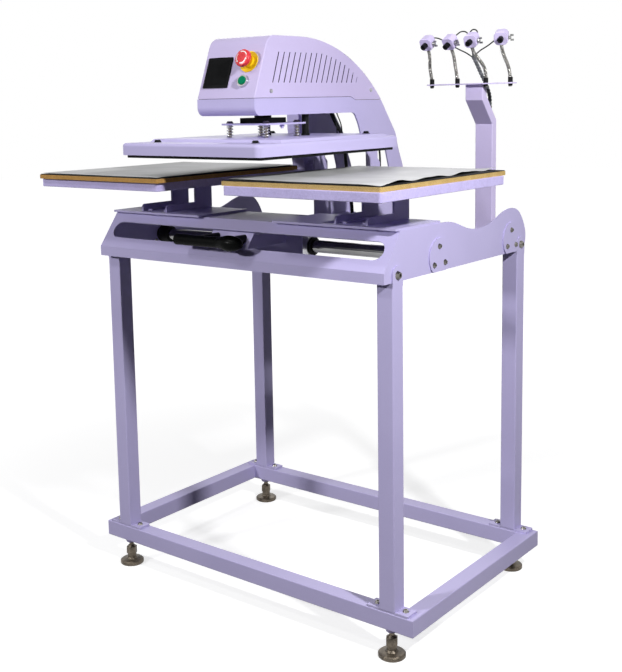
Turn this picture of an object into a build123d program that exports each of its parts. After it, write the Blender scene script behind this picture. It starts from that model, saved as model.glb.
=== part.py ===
# Dual station shuttle heat press on its floor stand. Millimetres, +Z up, floor at z = 0.
# X runs along the two guide shafts and -Y is the operator's side. The press head rides on
# the shafts from the left station to the right one and stands midway between them at rest.

import os
from math import asin, atan, atan2, cos, hypot, pi, radians, sin, sqrt, tan

from build123d import *

os.makedirs("parts", exist_ok=True)

# Lower frame and legs
frame_length = 950.0
frame_depth = 600.0
tube = 40.0
tube_wall = 3.0
foot_height = 68.0
foot_radius = 30.5
foot_stud_radius = 6.0
leg_x = 409.0
leg_y = 280.0
leg_plate_length = 105.0
leg_plate_width = 38.0
leg_plate_thickness = 5.0
plate_screw_offset = 36.0

# Body that carries the shafts
body_bottom = 829.5
body_half_width = 426.0
body_sheet = 3.0
deck_top = 935.0
deck_back = -108.0
slot_half_length = 406.0
slot_width = 45.0
shaft_radius = 15.0
shaft_z = 862.0
front_shaft_y = -111.0
rear_shaft_y = 230.0
end_plate_radius = 42.0
end_plate_thickness = 3.0

# Stations
station_x = 298.0
station_y = -195.0
station_plate = 5.0
pedestal_spacing = 82.0
platen_width = 400.0
platen_depth = 500.0
platen_thickness = 20.0
platen_bottom = 1010.0
board_width = 405.0
board_depth = 510.0
board_thickness = 9.5
board_shift_left = -6.0
board_shift_right = 12.0
mat_thickness = 2.5
cover_sheet_thickness = 1.5

# Press head
head_half_width = 85.4
head_sheet = 2.5
side_plate = 4.0
seam_z = 1212.5
seam_gap = 1.0
arm_bottom = 1174.5
face_foot_y = -318.8
face_lean = 20.95
head_top = 1351.5
crown_start_y = -150.0
crown_radius = 454.0
press_y = -188.0
press_opening = 41.0
heater_thickness = 9.5
heat_cover_half_width = 206.0
heat_cover_front = -450.0
heat_cover_back = 77.0
heat_cover_bottom = 1091.0
heat_cover_top = 1118.0
raised_height = 6.0
spring_plate_z = 1152.0
spring_plate_thickness = 4.0
ram_radius = 20.0
guide_radius = 8.5
guide_x = 59.0
guide_y = -102.5

# Pointer lamps
post_x = 308.0
post_width = 48.0
post_depth = 22.0
post_back = 334.0
crossbar_z = 1236.5
crossbar_y = 265.0
gooseneck_radius = 4.5

# Clearances
running = 0.05
loose = 0.3

# The overall depth runs from the left board's front edge to the lamp post's back, and the
# origin is midway: stand_y is where the stand's own middle falls.
board_front = station_y + board_shift_left - board_depth / 2
stand_y = -(board_front + post_back) / 2

rail_top = foot_height + tube
plate_top = rail_top + leg_plate_thickness
platen_top = platen_bottom + platen_thickness
board_top = platen_top + board_thickness
mat_top = board_top + mat_thickness
sheet_top = mat_top + cover_sheet_thickness
heater_bottom = sheet_top + press_opening
raised_top = heat_cover_top + raised_height


def level(z):
    """Horizontal plane over the stand's middle."""
    return Plane(origin=(0, stand_y, z))


def side(x):
    """Plane facing +X, drawn in (y, z)."""
    return Plane(origin=(x, stand_y, 0), x_dir=(0, 1, 0), z_dir=(1, 0, 0))


def front(y):
    """Plane facing the operator, drawn in (x, z)."""
    return Plane(origin=(0, stand_y + y, 0), x_dir=(1, 0, 0), z_dir=(0, -1, 0))


def write(piece, label):
    piece.part.label = label
    export_step(piece.part, f"parts/{label}.step")


# Lower frame: mitred square tube with a threaded boss under each leg
plate_screw_spots = []
for across in (-1, 1):
    for along in (-1, 1):
        for step in (-1, 1):
            plate_screw_spots.append((across * leg_x + step * plate_screw_offset, along * leg_y))

with BuildPart() as base_frame:
    with BuildSketch(level(foot_height)):
        Rectangle(frame_length, frame_depth)
        Rectangle(frame_length - 2 * tube, frame_depth - 2 * tube, mode=Mode.SUBTRACT)
    extrude(amount=tube)
    fillet(base_frame.edges().filter_by(Plane.XY), radius=2.5)
    with BuildSketch(level(foot_height)):
        with GridLocations(2 * leg_x, 2 * leg_y, 2, 2):
            Circle(16)
    extrude(amount=-9, taper=20)
    with BuildSketch(level(foot_height + tube_wall)):
        Rectangle(frame_length - 2 * tube_wall, frame_depth - 2 * tube_wall)
        Rectangle(
            frame_length - 2 * (tube - tube_wall),
            frame_depth - 2 * (tube - tube_wall),
            mode=Mode.SUBTRACT,
        )
    extrude(amount=tube - 2 * tube_wall, mode=Mode.SUBTRACT)
    with BuildSketch(level(foot_height - 10)):
        with GridLocations(2 * leg_x, 2 * leg_y, 2, 2):
            Circle(foot_stud_radius + running)
    extrude(amount=20, mode=Mode.SUBTRACT)
    with BuildSketch(level(foot_height - 1)):
        with Locations(plate_screw_spots):
            Circle(4 + running)
    extrude(amount=tube + 2, mode=Mode.SUBTRACT)
write(base_frame, "base_frame")

# Legs: square tube on a welded foot plate, the outer wall carried up as a rounded tab
tab_top_radius = 20.0
tab_bolt_z = 844.0
with BuildPart() as legs:
    with BuildSketch(level(rail_top)):
        with GridLocations(2 * leg_x, 2 * leg_y, 2, 2):
            RectangleRounded(leg_plate_length, leg_plate_width, 3)
        with Locations(plate_screw_spots):
            Circle(4 + running, mode=Mode.SUBTRACT)
    extrude(amount=leg_plate_thickness)
    with BuildSketch(level(plate_top)):
        with GridLocations(2 * leg_x, 2 * leg_y, 2, 2):
            RectangleRounded(tube, tube, 2.5)
            Rectangle(tube - 2 * tube_wall, tube - 2 * tube_wall, mode=Mode.SUBTRACT)
    extrude(amount=body_bottom - plate_top)
    for across in (-1, 1):
        with BuildSketch(side(across * body_half_width)):
            with Locations((-leg_y, tab_bolt_z), (leg_y, tab_bolt_z)):
                Circle(tab_top_radius)
            with Locations((-leg_y, tab_bolt_z - 12), (leg_y, tab_bolt_z - 12)):
                Rectangle(2 * tab_top_radius, 24)
            with Locations((-leg_y, tab_bolt_z), (leg_y, tab_bolt_z)):
                Circle(6 + running, mode=Mode.SUBTRACT)
        extrude(amount=across * (leg_x + tube / 2 - body_half_width))
write(legs, "legs")

# Button-head screws that hold the foot plates down; their ends stand out under the tube
with BuildPart() as plate_screws:
    with BuildSketch(level(plate_top)):
        with Locations(plate_screw_spots):
            Circle(7)
    extrude(amount=4.4, taper=25)
    with BuildSketch(level(plate_top)):
        with Locations(plate_screw_spots):
            Circle(4)
    extrude(amount=-(plate_top - foot_height + 7))
    with BuildSketch(level(plate_top + 4.4)):
        with Locations(plate_screw_spots):
            RegularPolygon(2.9, 6)
    extrude(amount=-2.4, mode=Mode.SUBTRACT)
write(plate_screws, "plate_screws")

# Levelling feet: pad, hexagon collar and stud turned from one bar, screwed into the bosses
foot_names = {
    "foot_front_left": (-leg_x, -leg_y),
    "foot_front_right": (leg_x, -leg_y),
    "foot_rear_left": (-leg_x, leg_y),
    "foot_rear_right": (leg_x, leg_y),
}
for foot_name, (foot_x, foot_y) in foot_names.items():
    with BuildPart() as foot:
        with BuildSketch(
            Plane(origin=(foot_x, stand_y + foot_y, 0), x_dir=(1, 0, 0), z_dir=(0, -1, 0))
        ):
            with BuildLine():
                Polyline(
                    (0, 0),
                    (foot_radius - 2, 0),
                    (foot_radius, 2),
                    (foot_radius, 8.5),
                    (foot_radius - 3, 11),
                    (15, 13),
                    (11.5, 17),
                    (11.5, 27),
                    (0, 27),
                    (0, 0),
                )
            make_face()
        revolve(axis=Axis((foot_x, stand_y + foot_y, 0), (0, 0, 1)))
        with BuildSketch(Plane(origin=(foot_x, stand_y + foot_y, 27))):
            RegularPolygon(14, 6)
        extrude(amount=18)
        with BuildSketch(Plane(origin=(foot_x, stand_y + foot_y, 45))):
            Circle(11.8)
        extrude(amount=5, taper=45)
        with BuildSketch(Plane(origin=(foot_x, stand_y + foot_y, 45))):
            Circle(foot_stud_radius)
        extrude(amount=50)
    write(foot, foot_name)

# Body side panels: one flat plate each side, low in the middle and humped over the rear shaft
end_plate_screw_spots = [(-112, 885), (-134, 846), (-88, 847), (229, 885), (208, 847), (252, 847)]
with BuildPart() as side_panels:
    for across in (-1, 1):
        with BuildSketch(side(across * (body_half_width - body_sheet))):
            with BuildLine():
                Polyline(
                    (300, body_bottom),
                    (-327.5, body_bottom),
                    (-327.5, 853),
                    (-265.5, deck_top),
                    (-85, deck_top),
                )
                Spline(
                    (-85, deck_top),
                    (20, 911),
                    (75, 905.5),
                    (140, 915),
                    (230, 938),
                    tangents=((1, 0), (1, 0)),
                )
                Spline(
                    (230, 938),
                    (294, 905),
                    (311, 860),
                    (300, body_bottom),
                    tangents=((1, 0), (-0.5, -1)),
                )
            make_face()
            with Locations((front_shaft_y, shaft_z), (rear_shaft_y, shaft_z)):
                Circle(shaft_radius, mode=Mode.SUBTRACT)
            with Locations(end_plate_screw_spots):
                Circle(4 + running, mode=Mode.SUBTRACT)
            with Locations((-leg_y, tab_bolt_z), (leg_y, tab_bolt_z)):
                Circle(6 + running, mode=Mode.SUBTRACT)
        extrude(amount=across * body_sheet)
write(side_panels, "side_panels")

# Body front: one bent sheet with the lip, the slanted face with the long slot, and the deck
inner_half_width = body_half_width - body_sheet
slant_y = (-327.5 - 265.5) / 2
slant_z = (853 + deck_top) / 2
slant_plane = Plane(
    origin=(0, stand_y + slant_y, slant_z),
    x_dir=(1, 0, 0),
    z_dir=(0, -(deck_top - 853), 327.5 - 265.5),
)
window = (216.0, 250.0, -258.0, -113.0)
with BuildPart() as front_panel:
    with BuildSketch(side(-inner_half_width)):
        with BuildLine():
            Polyline((-327.5, body_bottom), (-327.5, 853), (-265.5, deck_top), (deck_back, deck_top))
            offset(amount=body_sheet, side=Side.RIGHT)
        make_face()
    extrude(amount=2 * inner_half_width)
    with BuildSketch(slant_plane):
        SlotOverall(2 * slot_half_length, slot_width)
    extrude(amount=12, both=True, mode=Mode.SUBTRACT)
    with BuildSketch(level(deck_top)):
        with Locations(((window[0] + window[1]) / 2, (window[2] + window[3]) / 2)):
            Rectangle(window[1] - window[0], window[3] - window[2])
    extrude(amount=-2 * body_sheet, mode=Mode.SUBTRACT)
write(front_panel, "front_panel")

# Body rear rail: low angle between the side panels
rail_height = 26.5
rail_face_y = 300.0
with BuildPart() as rear_rail:
    with BuildSketch(side(-inner_half_width)):
        with BuildLine():
            Polyline(
                (rail_face_y, body_bottom + rail_height),
                (rail_face_y, body_bottom),
                (rail_face_y - 22, body_bottom),
            )
            offset(amount=body_sheet, side=Side.RIGHT)
        make_face()
    extrude(amount=2 * inner_half_width)
write(rear_rail, "rear_rail")

# Guide shafts between the end plates
with BuildPart() as shafts:
    with BuildSketch(side(-body_half_width)):
        with Locations((front_shaft_y, shaft_z), (rear_shaft_y, shaft_z)):
            Circle(shaft_radius)
    extrude(amount=2 * body_half_width)
write(shafts, "shafts")

# End plates: discs over the shaft ends, flush with the panel's lower edge; the rear ones are
# cut back beside the leg tabs
with BuildPart() as shaft_end_plates:
    for across in (-1, 1):
        with BuildSketch(side(across * body_half_width)):
            with Locations((front_shaft_y, shaft_z), (rear_shaft_y, shaft_z)):
                Circle(end_plate_radius)
            with Locations((60, body_bottom - 50)):
                Rectangle(500, 100, mode=Mode.SUBTRACT)
            with Locations((leg_y - tab_top_radius - 0.5 + 50, 850)):
                Rectangle(100, 120, mode=Mode.SUBTRACT)
            with Locations(end_plate_screw_spots):
                Circle(4 + running, mode=Mode.SUBTRACT)
        extrude(amount=across * end_plate_thickness)
write(shaft_end_plates, "shaft_end_plates")

with BuildPart() as end_plate_screws:
    for across in (-1, 1):
        with BuildSketch(side(across * (body_half_width + end_plate_thickness))):
            with Locations(end_plate_screw_spots):
                Circle(6.5)
        extrude(amount=across * 4, taper=25)
        with BuildSketch(side(across * (body_half_width + end_plate_thickness))):
            with Locations(end_plate_screw_spots):
                Circle(4)
        extrude(amount=-across * (end_plate_thickness + body_sheet))
        with BuildSketch(side(across * (body_half_width + end_plate_thickness + 4))):
            with Locations(end_plate_screw_spots):
                RegularPolygon(2.6, 6)
        extrude(amount=-across * 2.2, mode=Mode.SUBTRACT)
write(end_plate_screws, "end_plate_screws")

# Leg bolts with a nut on the inside of the panel
leg_face = leg_x + tube / 2
with BuildPart() as leg_bolts:
    for across in (-1, 1):
        spots = ((-leg_y, tab_bolt_z), (leg_y, tab_bolt_z))
        with BuildSketch(side(across * leg_face)):
            with Locations(spots):
                Circle(9.5)
        extrude(amount=across * 6, taper=25)
        with BuildSketch(side(across * leg_face)):
            with Locations(spots):
                Circle(6)
        extrude(amount=-across * 18)
        with BuildSketch(side(across * (leg_face + 6))):
            with Locations(spots):
                RegularPolygon(4, 6)
        extrude(amount=-across * 3.5, mode=Mode.SUBTRACT)
        with BuildSketch(side(across * inner_half_width)):
            with Locations(spots):
                RegularPolygon(10, 6)
                Circle(6 + running, mode=Mode.SUBTRACT)
        extrude(amount=-across * 9)
write(leg_bolts, "leg_bolts")

# Rubber buffer rings on the shafts against the side panels
buffer_length = 36.0
with BuildPart() as buffers:
    for across in (-1, 1):
        with BuildSketch(side(across * inner_half_width)):
            with Locations((front_shaft_y, shaft_z), (rear_shaft_y, shaft_z)):
                Circle(shaft_radius + 6)
                Circle(shaft_radius, mode=Mode.SUBTRACT)
        extrude(amount=-across * buffer_length)
    fillet(buffers.edges().filter_by(lambda e: abs(e.radius - shaft_radius - 6) < 0.1 if e.geom_type == GeomType.CIRCLE else False), radius=2)
write(buffers, "buffers")

# Station plates on the deck; the right one shares the deck's window
with BuildPart() as station_plates:
    with BuildSketch(level(deck_top)):
        with Locations((-277, -190)):
            RectangleRounded(296, 180, 3)
        with Locations((260, -190)):
            RectangleRounded(330, 180, 3)
        with Locations(((window[0] + window[1]) / 2, (window[2] + window[3]) / 2)):
            Rectangle(window[1] - window[0], window[3] - window[2], mode=Mode.SUBTRACT)
    extrude(amount=station_plate)
write(station_plates, "station_plates")

# Pedestals: two upright plates joined by a top plate, with inward foot flanges
pedestal_bottom = deck_top + station_plate
pedestal_plate = 5.0
with BuildPart() as pedestals:
    for across in (-1, 1):
        for step in (-1, 1):
            plate_x = across * station_x + step * pedestal_spacing / 2
            with BuildSketch(side(plate_x - pedestal_plate / 2)) as web:
                Polygon(
                    (-260, pedestal_bottom),
                    (-260, pedestal_bottom + 17),
                    (-156, pedestal_bottom + 17),
                    (-156, platen_bottom),
                    (-95, platen_bottom),
                    (-95, pedestal_bottom),
                    align=None,
                )
                fillet(web.vertices().sort_by(Axis.X)[0:2].sort_by(Axis.Y)[-1], radius=8)
                fillet(
                    web.vertices().filter_by(
                        lambda v: abs(v.Y - stand_y + 156) < 1 and abs(v.Z - pedestal_bottom - 17) < 1
                    ),
                    radius=10,
                )
            extrude(amount=pedestal_plate)
            with BuildSketch(level(pedestal_bottom)):
                with Locations((plate_x - step * (pedestal_plate / 2 + 9), -172)):
                    Rectangle(18, 150)
            extrude(amount=4)
        with BuildSketch(level(platen_bottom - pedestal_plate)):
            with Locations((across * station_x, -125.5)):
                Rectangle(pedestal_spacing + pedestal_plate, 61)
        extrude(amount=pedestal_plate)
write(pedestals, "pedestals")

# Lower platens and what lies on them
with BuildPart() as platens:
    with BuildSketch(level(platen_bottom)):
        with Locations((-station_x, station_y), (station_x, station_y)):
            RectangleRounded(platen_width, platen_depth, 6)
    extrude(amount=platen_thickness)
    fillet(platens.edges().filter_by(Plane.XY), radius=1.5)
write(platens, "platens")

board_spots = (
    (-station_x + 8, station_y + board_shift_left),
    (station_x - 8, station_y + board_shift_right),
)
with BuildPart() as boards:
    with BuildSketch(level(platen_top)):
        with Locations(board_spots):
            RectangleRounded(board_width, board_depth, 3)
    extrude(amount=board_thickness)
write(boards, "boards")

with BuildPart() as mats:
    with BuildSketch(level(board_top)):
        with Locations(board_spots):
            RectangleRounded(board_width - 3, board_depth - 6, 3)
    extrude(amount=mat_thickness)
write(mats, "mats")

with BuildPart() as sheets:
    with BuildSketch(level(mat_top)):
        with Locations(board_spots):
            Rectangle(board_width - 10, board_depth - 14)
    extrude(amount=cover_sheet_thickness)
write(sheets, "sheets")

# Carriage: upright front plate welded to a base plate that joins the bearings of both shafts,
# and in front of it the bracket that carries the pull handle close behind the slot
carriage_top = 898.0
carriage_plate = 8.0
carriage_half = 90.0
carriage_front_y = -165.0
bracket_inset = 5.5
bracket_left = -84.0
bracket_right = 42.0
with BuildPart() as carriage_base:
    with BuildSketch(level(carriage_top)):
        with Locations((0, (carriage_front_y + 285) / 2)):
            Rectangle(2 * carriage_half - 6, 285 - carriage_front_y)
        with Locations((0, 30)):
            RectangleRounded(100, 200, 12, mode=Mode.SUBTRACT)
    extrude(amount=-carriage_plate)
    with BuildSketch(front(carriage_front_y)):
        with Locations((0, 871.5)):
            RectangleRounded(2 * carriage_half, 67, 4)
    extrude(amount=-4)
    with BuildSketch(slant_plane.offset(-bracket_inset)):
        with Locations(((bracket_left + bracket_right) / 2, 0)):
            Rectangle(bracket_right - bracket_left, 44)
    extrude(amount=-3)
    for arm_x in (bracket_left, bracket_right - 3):
        with BuildSketch(side(arm_x)):
            Polygon((-302.8, 874), (-280.2, 904), (-163, 904), (-163, 874), align=None)
        extrude(amount=3)
write(carriage_base, "carriage_base")

# Linear bearings in their saddles under the base plate
bearing_spots = [(-55, front_shaft_y), (55, front_shaft_y), (-55, rear_shaft_y), (55, rear_shaft_y)]
bearing_half = 27.0
with BuildPart() as bearings:
    for bearing_x, bearing_y in bearing_spots:
        with BuildSketch(side(bearing_x - bearing_half)):
            with Locations((bearing_y, shaft_z)):
                Circle(25)
            with Locations((bearing_y, (shaft_z + carriage_top - carriage_plate) / 2)):
                Rectangle(38, carriage_top - carriage_plate - shaft_z)
            with Locations((bearing_y, shaft_z)):
                Circle(shaft_radius + running, mode=Mode.SUBTRACT)
        extrude(amount=2 * bearing_half)
write(bearings, "bearings")

with BuildPart() as bearing_seals:
    for bearing_x, bearing_y in bearing_spots:
        for step in (-1, 1):
            with BuildSketch(side(bearing_x + step * bearing_half)):
                with Locations((bearing_y, shaft_z)):
                    Circle(22)
                    Circle(shaft_radius + running, mode=Mode.SUBTRACT)
            extrude(amount=step * 5)
write(bearing_seals, "bearing_seals")

# Pull handle: soft grip with a swollen right end on two legs that pass through the slot
grip_y = -352.0
grip_z = 892.0
handle_leg_spots = [(-66, grip_z), (16, grip_z)]
handle_leg_radius = 12.0
with BuildPart() as handle_grip:
    with BuildSketch(Plane(origin=(0, stand_y + grip_y, grip_z), x_dir=(1, 0, 0), z_dir=(0, -1, 0))):
        with BuildLine():
            Polyline((66, 0), (-134, 0), (-134, 11.5), (-132.5, 13), (-8, 13))
            Spline((-8, 13), (24, 18), (52, 15), (66, 0), tangents=((1, 0), (0, -1)))
        make_face()
    revolve(axis=Axis((0, stand_y + grip_y, grip_z), (1, 0, 0)))
write(handle_grip, "handle_grip")

with BuildPart() as handle_legs:
    with BuildSketch(front(-270)):
        with Locations(handle_leg_spots):
            Circle(handle_leg_radius)
    extrude(amount=-270 - grip_y)
    with BuildSketch(slant_plane.offset(-bracket_inset)):
        Rectangle(400, 200)
    extrude(amount=-60, mode=Mode.SUBTRACT)
    add(handle_grip.part, mode=Mode.SUBTRACT)
write(handle_legs, "handle_legs")

# Head side plates: the lower half of the arm, the throat and the two legs of each side
plate_x = head_half_width - side_plate
cover_screw_spots = [(-260.5, 1228), (135.3, 1228.5)]
with BuildPart() as head_sides:
    for across in (-1, 1):
        with BuildSketch(side(across * plate_x)) as web:
            with BuildLine():
                Polyline((181, 1204.5), (68, 1204.5), (48, seam_z), (face_foot_y, seam_z))
                FilletPolyline(
                    (face_foot_y, seam_z), (face_foot_y, arm_bottom), (52, arm_bottom), radius=19
                )
                Spline(
                    (52, arm_bottom),
                    (70, 1163.5),
                    (86, 1133),
                    (108, 1075),
                    (117, 1000),
                    tangents=((1, 0), (0, -1)),
                )
                Polyline((117, 1000), (117, carriage_top), (278, carriage_top))
                Spline(
                    (278, carriage_top),
                    (283.5, 1030),
                    (260, 1083),
                    (247.5, 1120),
                    tangents=((0.04, 1), (-0.5, 1)),
                )
                Polyline((247.5, 1120), (183.5, 1202), (181, 1204.5))
            make_face()
        extrude(amount=across * side_plate)
        with BuildSketch(side(across * plate_x)) as gap:
            Polygon(
                (175, 938),
                (213, 938),
                (218, 1030),
                (199, 1088),
                (186, 1110),
                (164, 1100),
                (164, 1057),
                (175, 1046),
                align=None,
            )
            fillet(gap.vertices(), radius=4)
        extrude(amount=across * side_plate, mode=Mode.SUBTRACT)
        with BuildSketch(level(carriage_top)):
            with Locations((across * (plate_x - 10), 197.5)):
                Rectangle(20, 155)
        extrude(amount=4)
        for screw_y, screw_z in cover_screw_spots:
            with BuildSketch(side(across * plate_x)):
                with Locations((screw_y, 1214)):
                    Rectangle(24, 40)
                with Locations((screw_y, screw_z)):
                    Circle(2.5 + running, mode=Mode.SUBTRACT)
            extrude(amount=-across * 3)
write(head_sides, "head_sides")

# Tray: bent sheet that closes the arm in front and below, with the guide bushes welded in
with BuildPart() as head_tray:
    with BuildSketch(side(-plate_x)):
        with BuildLine():
            FilletPolyline(
                (face_foot_y, seam_z), (face_foot_y, arm_bottom), (52, arm_bottom), radius=19
            )
            offset(amount=3, side=Side.LEFT)
        make_face()
    extrude(amount=2 * plate_x)
    with BuildSketch(level(arm_bottom)):
        with Locations((-guide_x, guide_y), (guide_x, guide_y)):
            Circle(14)
    extrude(amount=40)
    with BuildSketch(level(arm_bottom)):
        with Locations((-guide_x, guide_y), (guide_x, guide_y)):
            Circle(guide_radius + running)
        with Locations((0, press_y)):
            Circle(ram_radius + loose)
    extrude(amount=41, mode=Mode.SUBTRACT)
write(head_tray, "head_tray")

# Head cover: thin shell above the seam, open below, with slanted vents in both sides
lean = radians(face_lean)
crown_z = head_top - crown_radius
cover_foot = seam_z + seam_gap
vent_pitch = 20.3
vent_first_y = -255.5
vent_bottom = 1246.7
vent_width = 3.2
vent_slope = 0.35


def face_y(z, inset):
    """Where the slanted face stands at height z."""
    return face_foot_y + (z - cover_foot) * tan(lean) + inset / cos(lean)


def crown(y, inset):
    """Height of the cover's top at y."""
    if y < crown_start_y:
        return head_top - inset
    return crown_z + sqrt((crown_radius - inset) ** 2 - (y - crown_start_y) ** 2)


cover_end = 181.0
face_plane = Plane(
    origin=(0, stand_y + face_foot_y, cover_foot), x_dir=(1, 0, 0), z_dir=(0, -cos(lean), sin(lean))
)
screen_x = -37.7
screen_up = 61.5
estop_x = 47.6
estop_up = 85.1
start_x = 43.2
start_up = 39.5
with BuildPart() as head_cover:
    with BuildSketch(side(-head_half_width)):
        with BuildLine():
            Polyline(
                (cover_end, crown(cover_end, 0)),
                (cover_end, 1205.5),
                (68, 1205.5),
                (48, cover_foot),
                (face_y(cover_foot, 0), cover_foot),
            )
            FilletPolyline(
                (face_y(cover_foot, 0), cover_foot),
                (face_y(head_top, 0), head_top),
                (crown_start_y, head_top),
                radius=35,
            )
            RadiusArc((crown_start_y, head_top), (cover_end, crown(cover_end, 0)), crown_radius)
        make_face()
    extrude(amount=2 * head_half_width)
    fillet(
        head_cover.edges().filter_by(
            lambda e: abs(abs(e.center().X) - head_half_width) < 0.1 and e.center().Z > 1240
        ),
        radius=2.4,
    )
    with BuildSketch(side(-head_half_width + head_sheet)):
        with BuildLine():
            Polyline(
                (cover_end - head_sheet, crown(cover_end - head_sheet, head_sheet)),
                (cover_end - head_sheet, 1200),
                (face_y(1200, head_sheet), 1200),
            )
            FilletPolyline(
                (face_y(1200, head_sheet), 1200),
                (face_y(head_top - head_sheet, head_sheet), head_top - head_sheet),
                (crown_start_y, head_top - head_sheet),
                radius=32.5,
            )
            RadiusArc(
                (crown_start_y, head_top - head_sheet),
                (cover_end - head_sheet, crown(cover_end - head_sheet, head_sheet)),
                crown_radius - head_sheet,
            )
        make_face()
    extrude(amount=2 * (head_half_width - head_sheet), mode=Mode.SUBTRACT)
    with BuildSketch(side(-head_half_width - 1)):
        for number in range(17):
            foot_y = vent_first_y + vent_pitch * number
            vent_top = min(1315.0, crown(foot_y, 0) - 34)
            tip_y = foot_y + vent_slope * (vent_top - vent_bottom)
            Polygon(
                (foot_y, vent_bottom),
                (foot_y + vent_width, vent_bottom),
                (tip_y + vent_width, vent_top),
                (tip_y, vent_top),
                align=None,
            )
        with Locations(cover_screw_spots):
            Circle(2.5 + running)
    extrude(amount=2 * head_half_width + 2, mode=Mode.SUBTRACT)
    with BuildSketch(face_plane):
        with Locations((screen_x, screen_up)):
            Rectangle(67, 67)
        with Locations((estop_x, estop_up)):
            Circle(11.3)
        with Locations((start_x, start_up)):
            Circle(11.3)
    extrude(amount=8, both=True, mode=Mode.SUBTRACT)
write(head_cover, "head_cover")

with BuildPart() as cover_screws:
    for across in (-1, 1):
        with BuildSketch(side(across * head_half_width)):
            with Locations(cover_screw_spots):
                Circle(5)
        extrude(amount=across * 2.6, taper=25)
        with BuildSketch(side(across * head_half_width)):
            with Locations(cover_screw_spots):
                Circle(2.5)
        extrude(amount=-across * 12)
write(cover_screws, "cover_screws")

# Touch screen: bezel on the face and its case behind it
with BuildPart() as touch_screen:
    with BuildSketch(face_plane):
        with Locations((screen_x, screen_up)):
            RectangleRounded(73, 73, 2)
    extrude(amount=2.5)
    with BuildSketch(face_plane.offset(2.5)):
        with Locations((screen_x, screen_up)):
            Rectangle(62, 60)
    extrude(amount=-0.8, mode=Mode.SUBTRACT)
    with BuildSketch(face_plane):
        with Locations((screen_x, screen_up)):
            Rectangle(66, 66)
    extrude(amount=-24)
write(touch_screen, "touch_screen")

# Emergency stop: collar ring with its barrel, sliding stem, and the mushroom that turns on it
with BuildPart() as estop_collar:
    with BuildSketch(face_plane):
        with Locations((estop_x, estop_up)):
            Circle(24.5)
    extrude(amount=2)
    with BuildSketch(face_plane.offset(2)):
        with Locations((estop_x, estop_up)):
            Circle(14.5)
    extrude(amount=5)
    with BuildSketch(face_plane):
        with Locations((estop_x, estop_up)):
            Circle(11)
    extrude(amount=-38)
    with BuildSketch(face_plane.offset(7)):
        with Locations((estop_x, estop_up)):
            Circle(7 + running)
    extrude(amount=-40, mode=Mode.SUBTRACT)
write(estop_collar, "estop_collar")

with BuildPart() as estop_stem:
    with BuildSketch(face_plane.offset(-20)):
        with Locations((estop_x, estop_up)):
            Circle(7)
    extrude(amount=33.5)
    with BuildSketch(face_plane.offset(13.5)):
        with Locations((estop_x, estop_up)):
            Circle(4)
    extrude(amount=8)
write(estop_stem, "estop_stem")

estop_origin = face_plane.from_local_coords((estop_x, estop_up, 0))
with BuildPart() as estop_mushroom:
    with BuildSketch(Plane(estop_origin, x_dir=(1, 0, 0), z_dir=-face_plane.y_dir)):
        with BuildLine():
            Polyline(
                (0, 29),
                (0, 21.5),
                (4 + running, 21.5),
                (4 + running, 13.5),
                (12, 13.5),
                (13, 17),
                (19, 17.5),
                (20, 19),
                (20, 24),
            )
            Spline((20, 24), (16.5, 27.6), (0, 29), tangents=((0, 1), (-1, 0)))
        make_face()
    revolve(axis=Axis(estop_origin, face_plane.z_dir))
write(estop_mushroom, "estop_mushroom")

# Start button: fixed ring and the cap that is pressed
with BuildPart() as start_ring:
    with BuildSketch(face_plane):
        with Locations((start_x, start_up)):
            Circle(15)
    extrude(amount=6, taper=12)
    with BuildSketch(face_plane):
        with Locations((start_x, start_up)):
            Circle(11)
    extrude(amount=-26)
    with BuildSketch(face_plane.offset(7)):
        with Locations((start_x, start_up)):
            Circle(10 + running)
    extrude(amount=-23, mode=Mode.SUBTRACT)
write(start_ring, "start_ring")

with BuildPart() as start_cap:
    with BuildSketch(face_plane.offset(-10)):
        with Locations((start_x, start_up)):
            Circle(10)
    extrude(amount=18)
    with BuildSketch(face_plane.offset(8)):
        with Locations((start_x, start_up)):
            Circle(10)
    extrude(amount=1.2, taper=50)
write(start_cap, "start_cap")

# Lift unit inside the arm: flanged cylinder whose ram carries the spring plate
actuator_top = 1310.0
ram_top = 1262.0
block_top = 1168.0
tray_inside = arm_bottom + 3
with BuildPart() as actuator:
    with BuildSketch(level(tray_inside)):
        with Locations((0, press_y)):
            Circle(42)
    extrude(amount=6)
    with BuildSketch(level(tray_inside)):
        with Locations((0, press_y)):
            Circle(30)
    extrude(amount=actuator_top - tray_inside)
    with BuildSketch(level(tray_inside)):
        with Locations((0, press_y)):
            Circle(ram_radius + running)
    extrude(amount=actuator_top - tray_inside - 8, mode=Mode.SUBTRACT)
write(actuator, "actuator")

plate_under = spring_plate_z + spring_plate_thickness
with BuildPart() as ram:
    with BuildSketch(level(plate_under)):
        with Locations((0, press_y)):
            RectangleRounded(90, 65, 4)
    extrude(amount=block_top - plate_under)
    with BuildSketch(level(block_top)):
        with Locations((0, press_y)):
            Circle(ram_radius)
    extrude(amount=ram_top - block_top)
write(ram, "ram")

# Spring plate: it pushes on the heat platen through four springs round shoulder bolts
spring_spots = [(-55, -243), (55, -243), (-55, -130), (55, -130)]
with BuildPart() as spring_plate:
    with BuildSketch(level(spring_plate_z)):
        with Locations((0, -185)):
            RectangleRounded(140, 146, 5)
        with Locations(spring_spots):
            Circle(4 + running, mode=Mode.SUBTRACT)
    extrude(amount=spring_plate_thickness)
    with BuildSketch(level(spring_plate_z)):
        with Locations((57, press_y)):
            RegularPolygon(6, 6)
    extrude(amount=-5)
    with BuildSketch(level(spring_plate_z - 5)):
        with Locations((57, press_y)):
            Circle(3.5)
    extrude(amount=-4)
write(spring_plate, "spring_plate")

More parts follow.
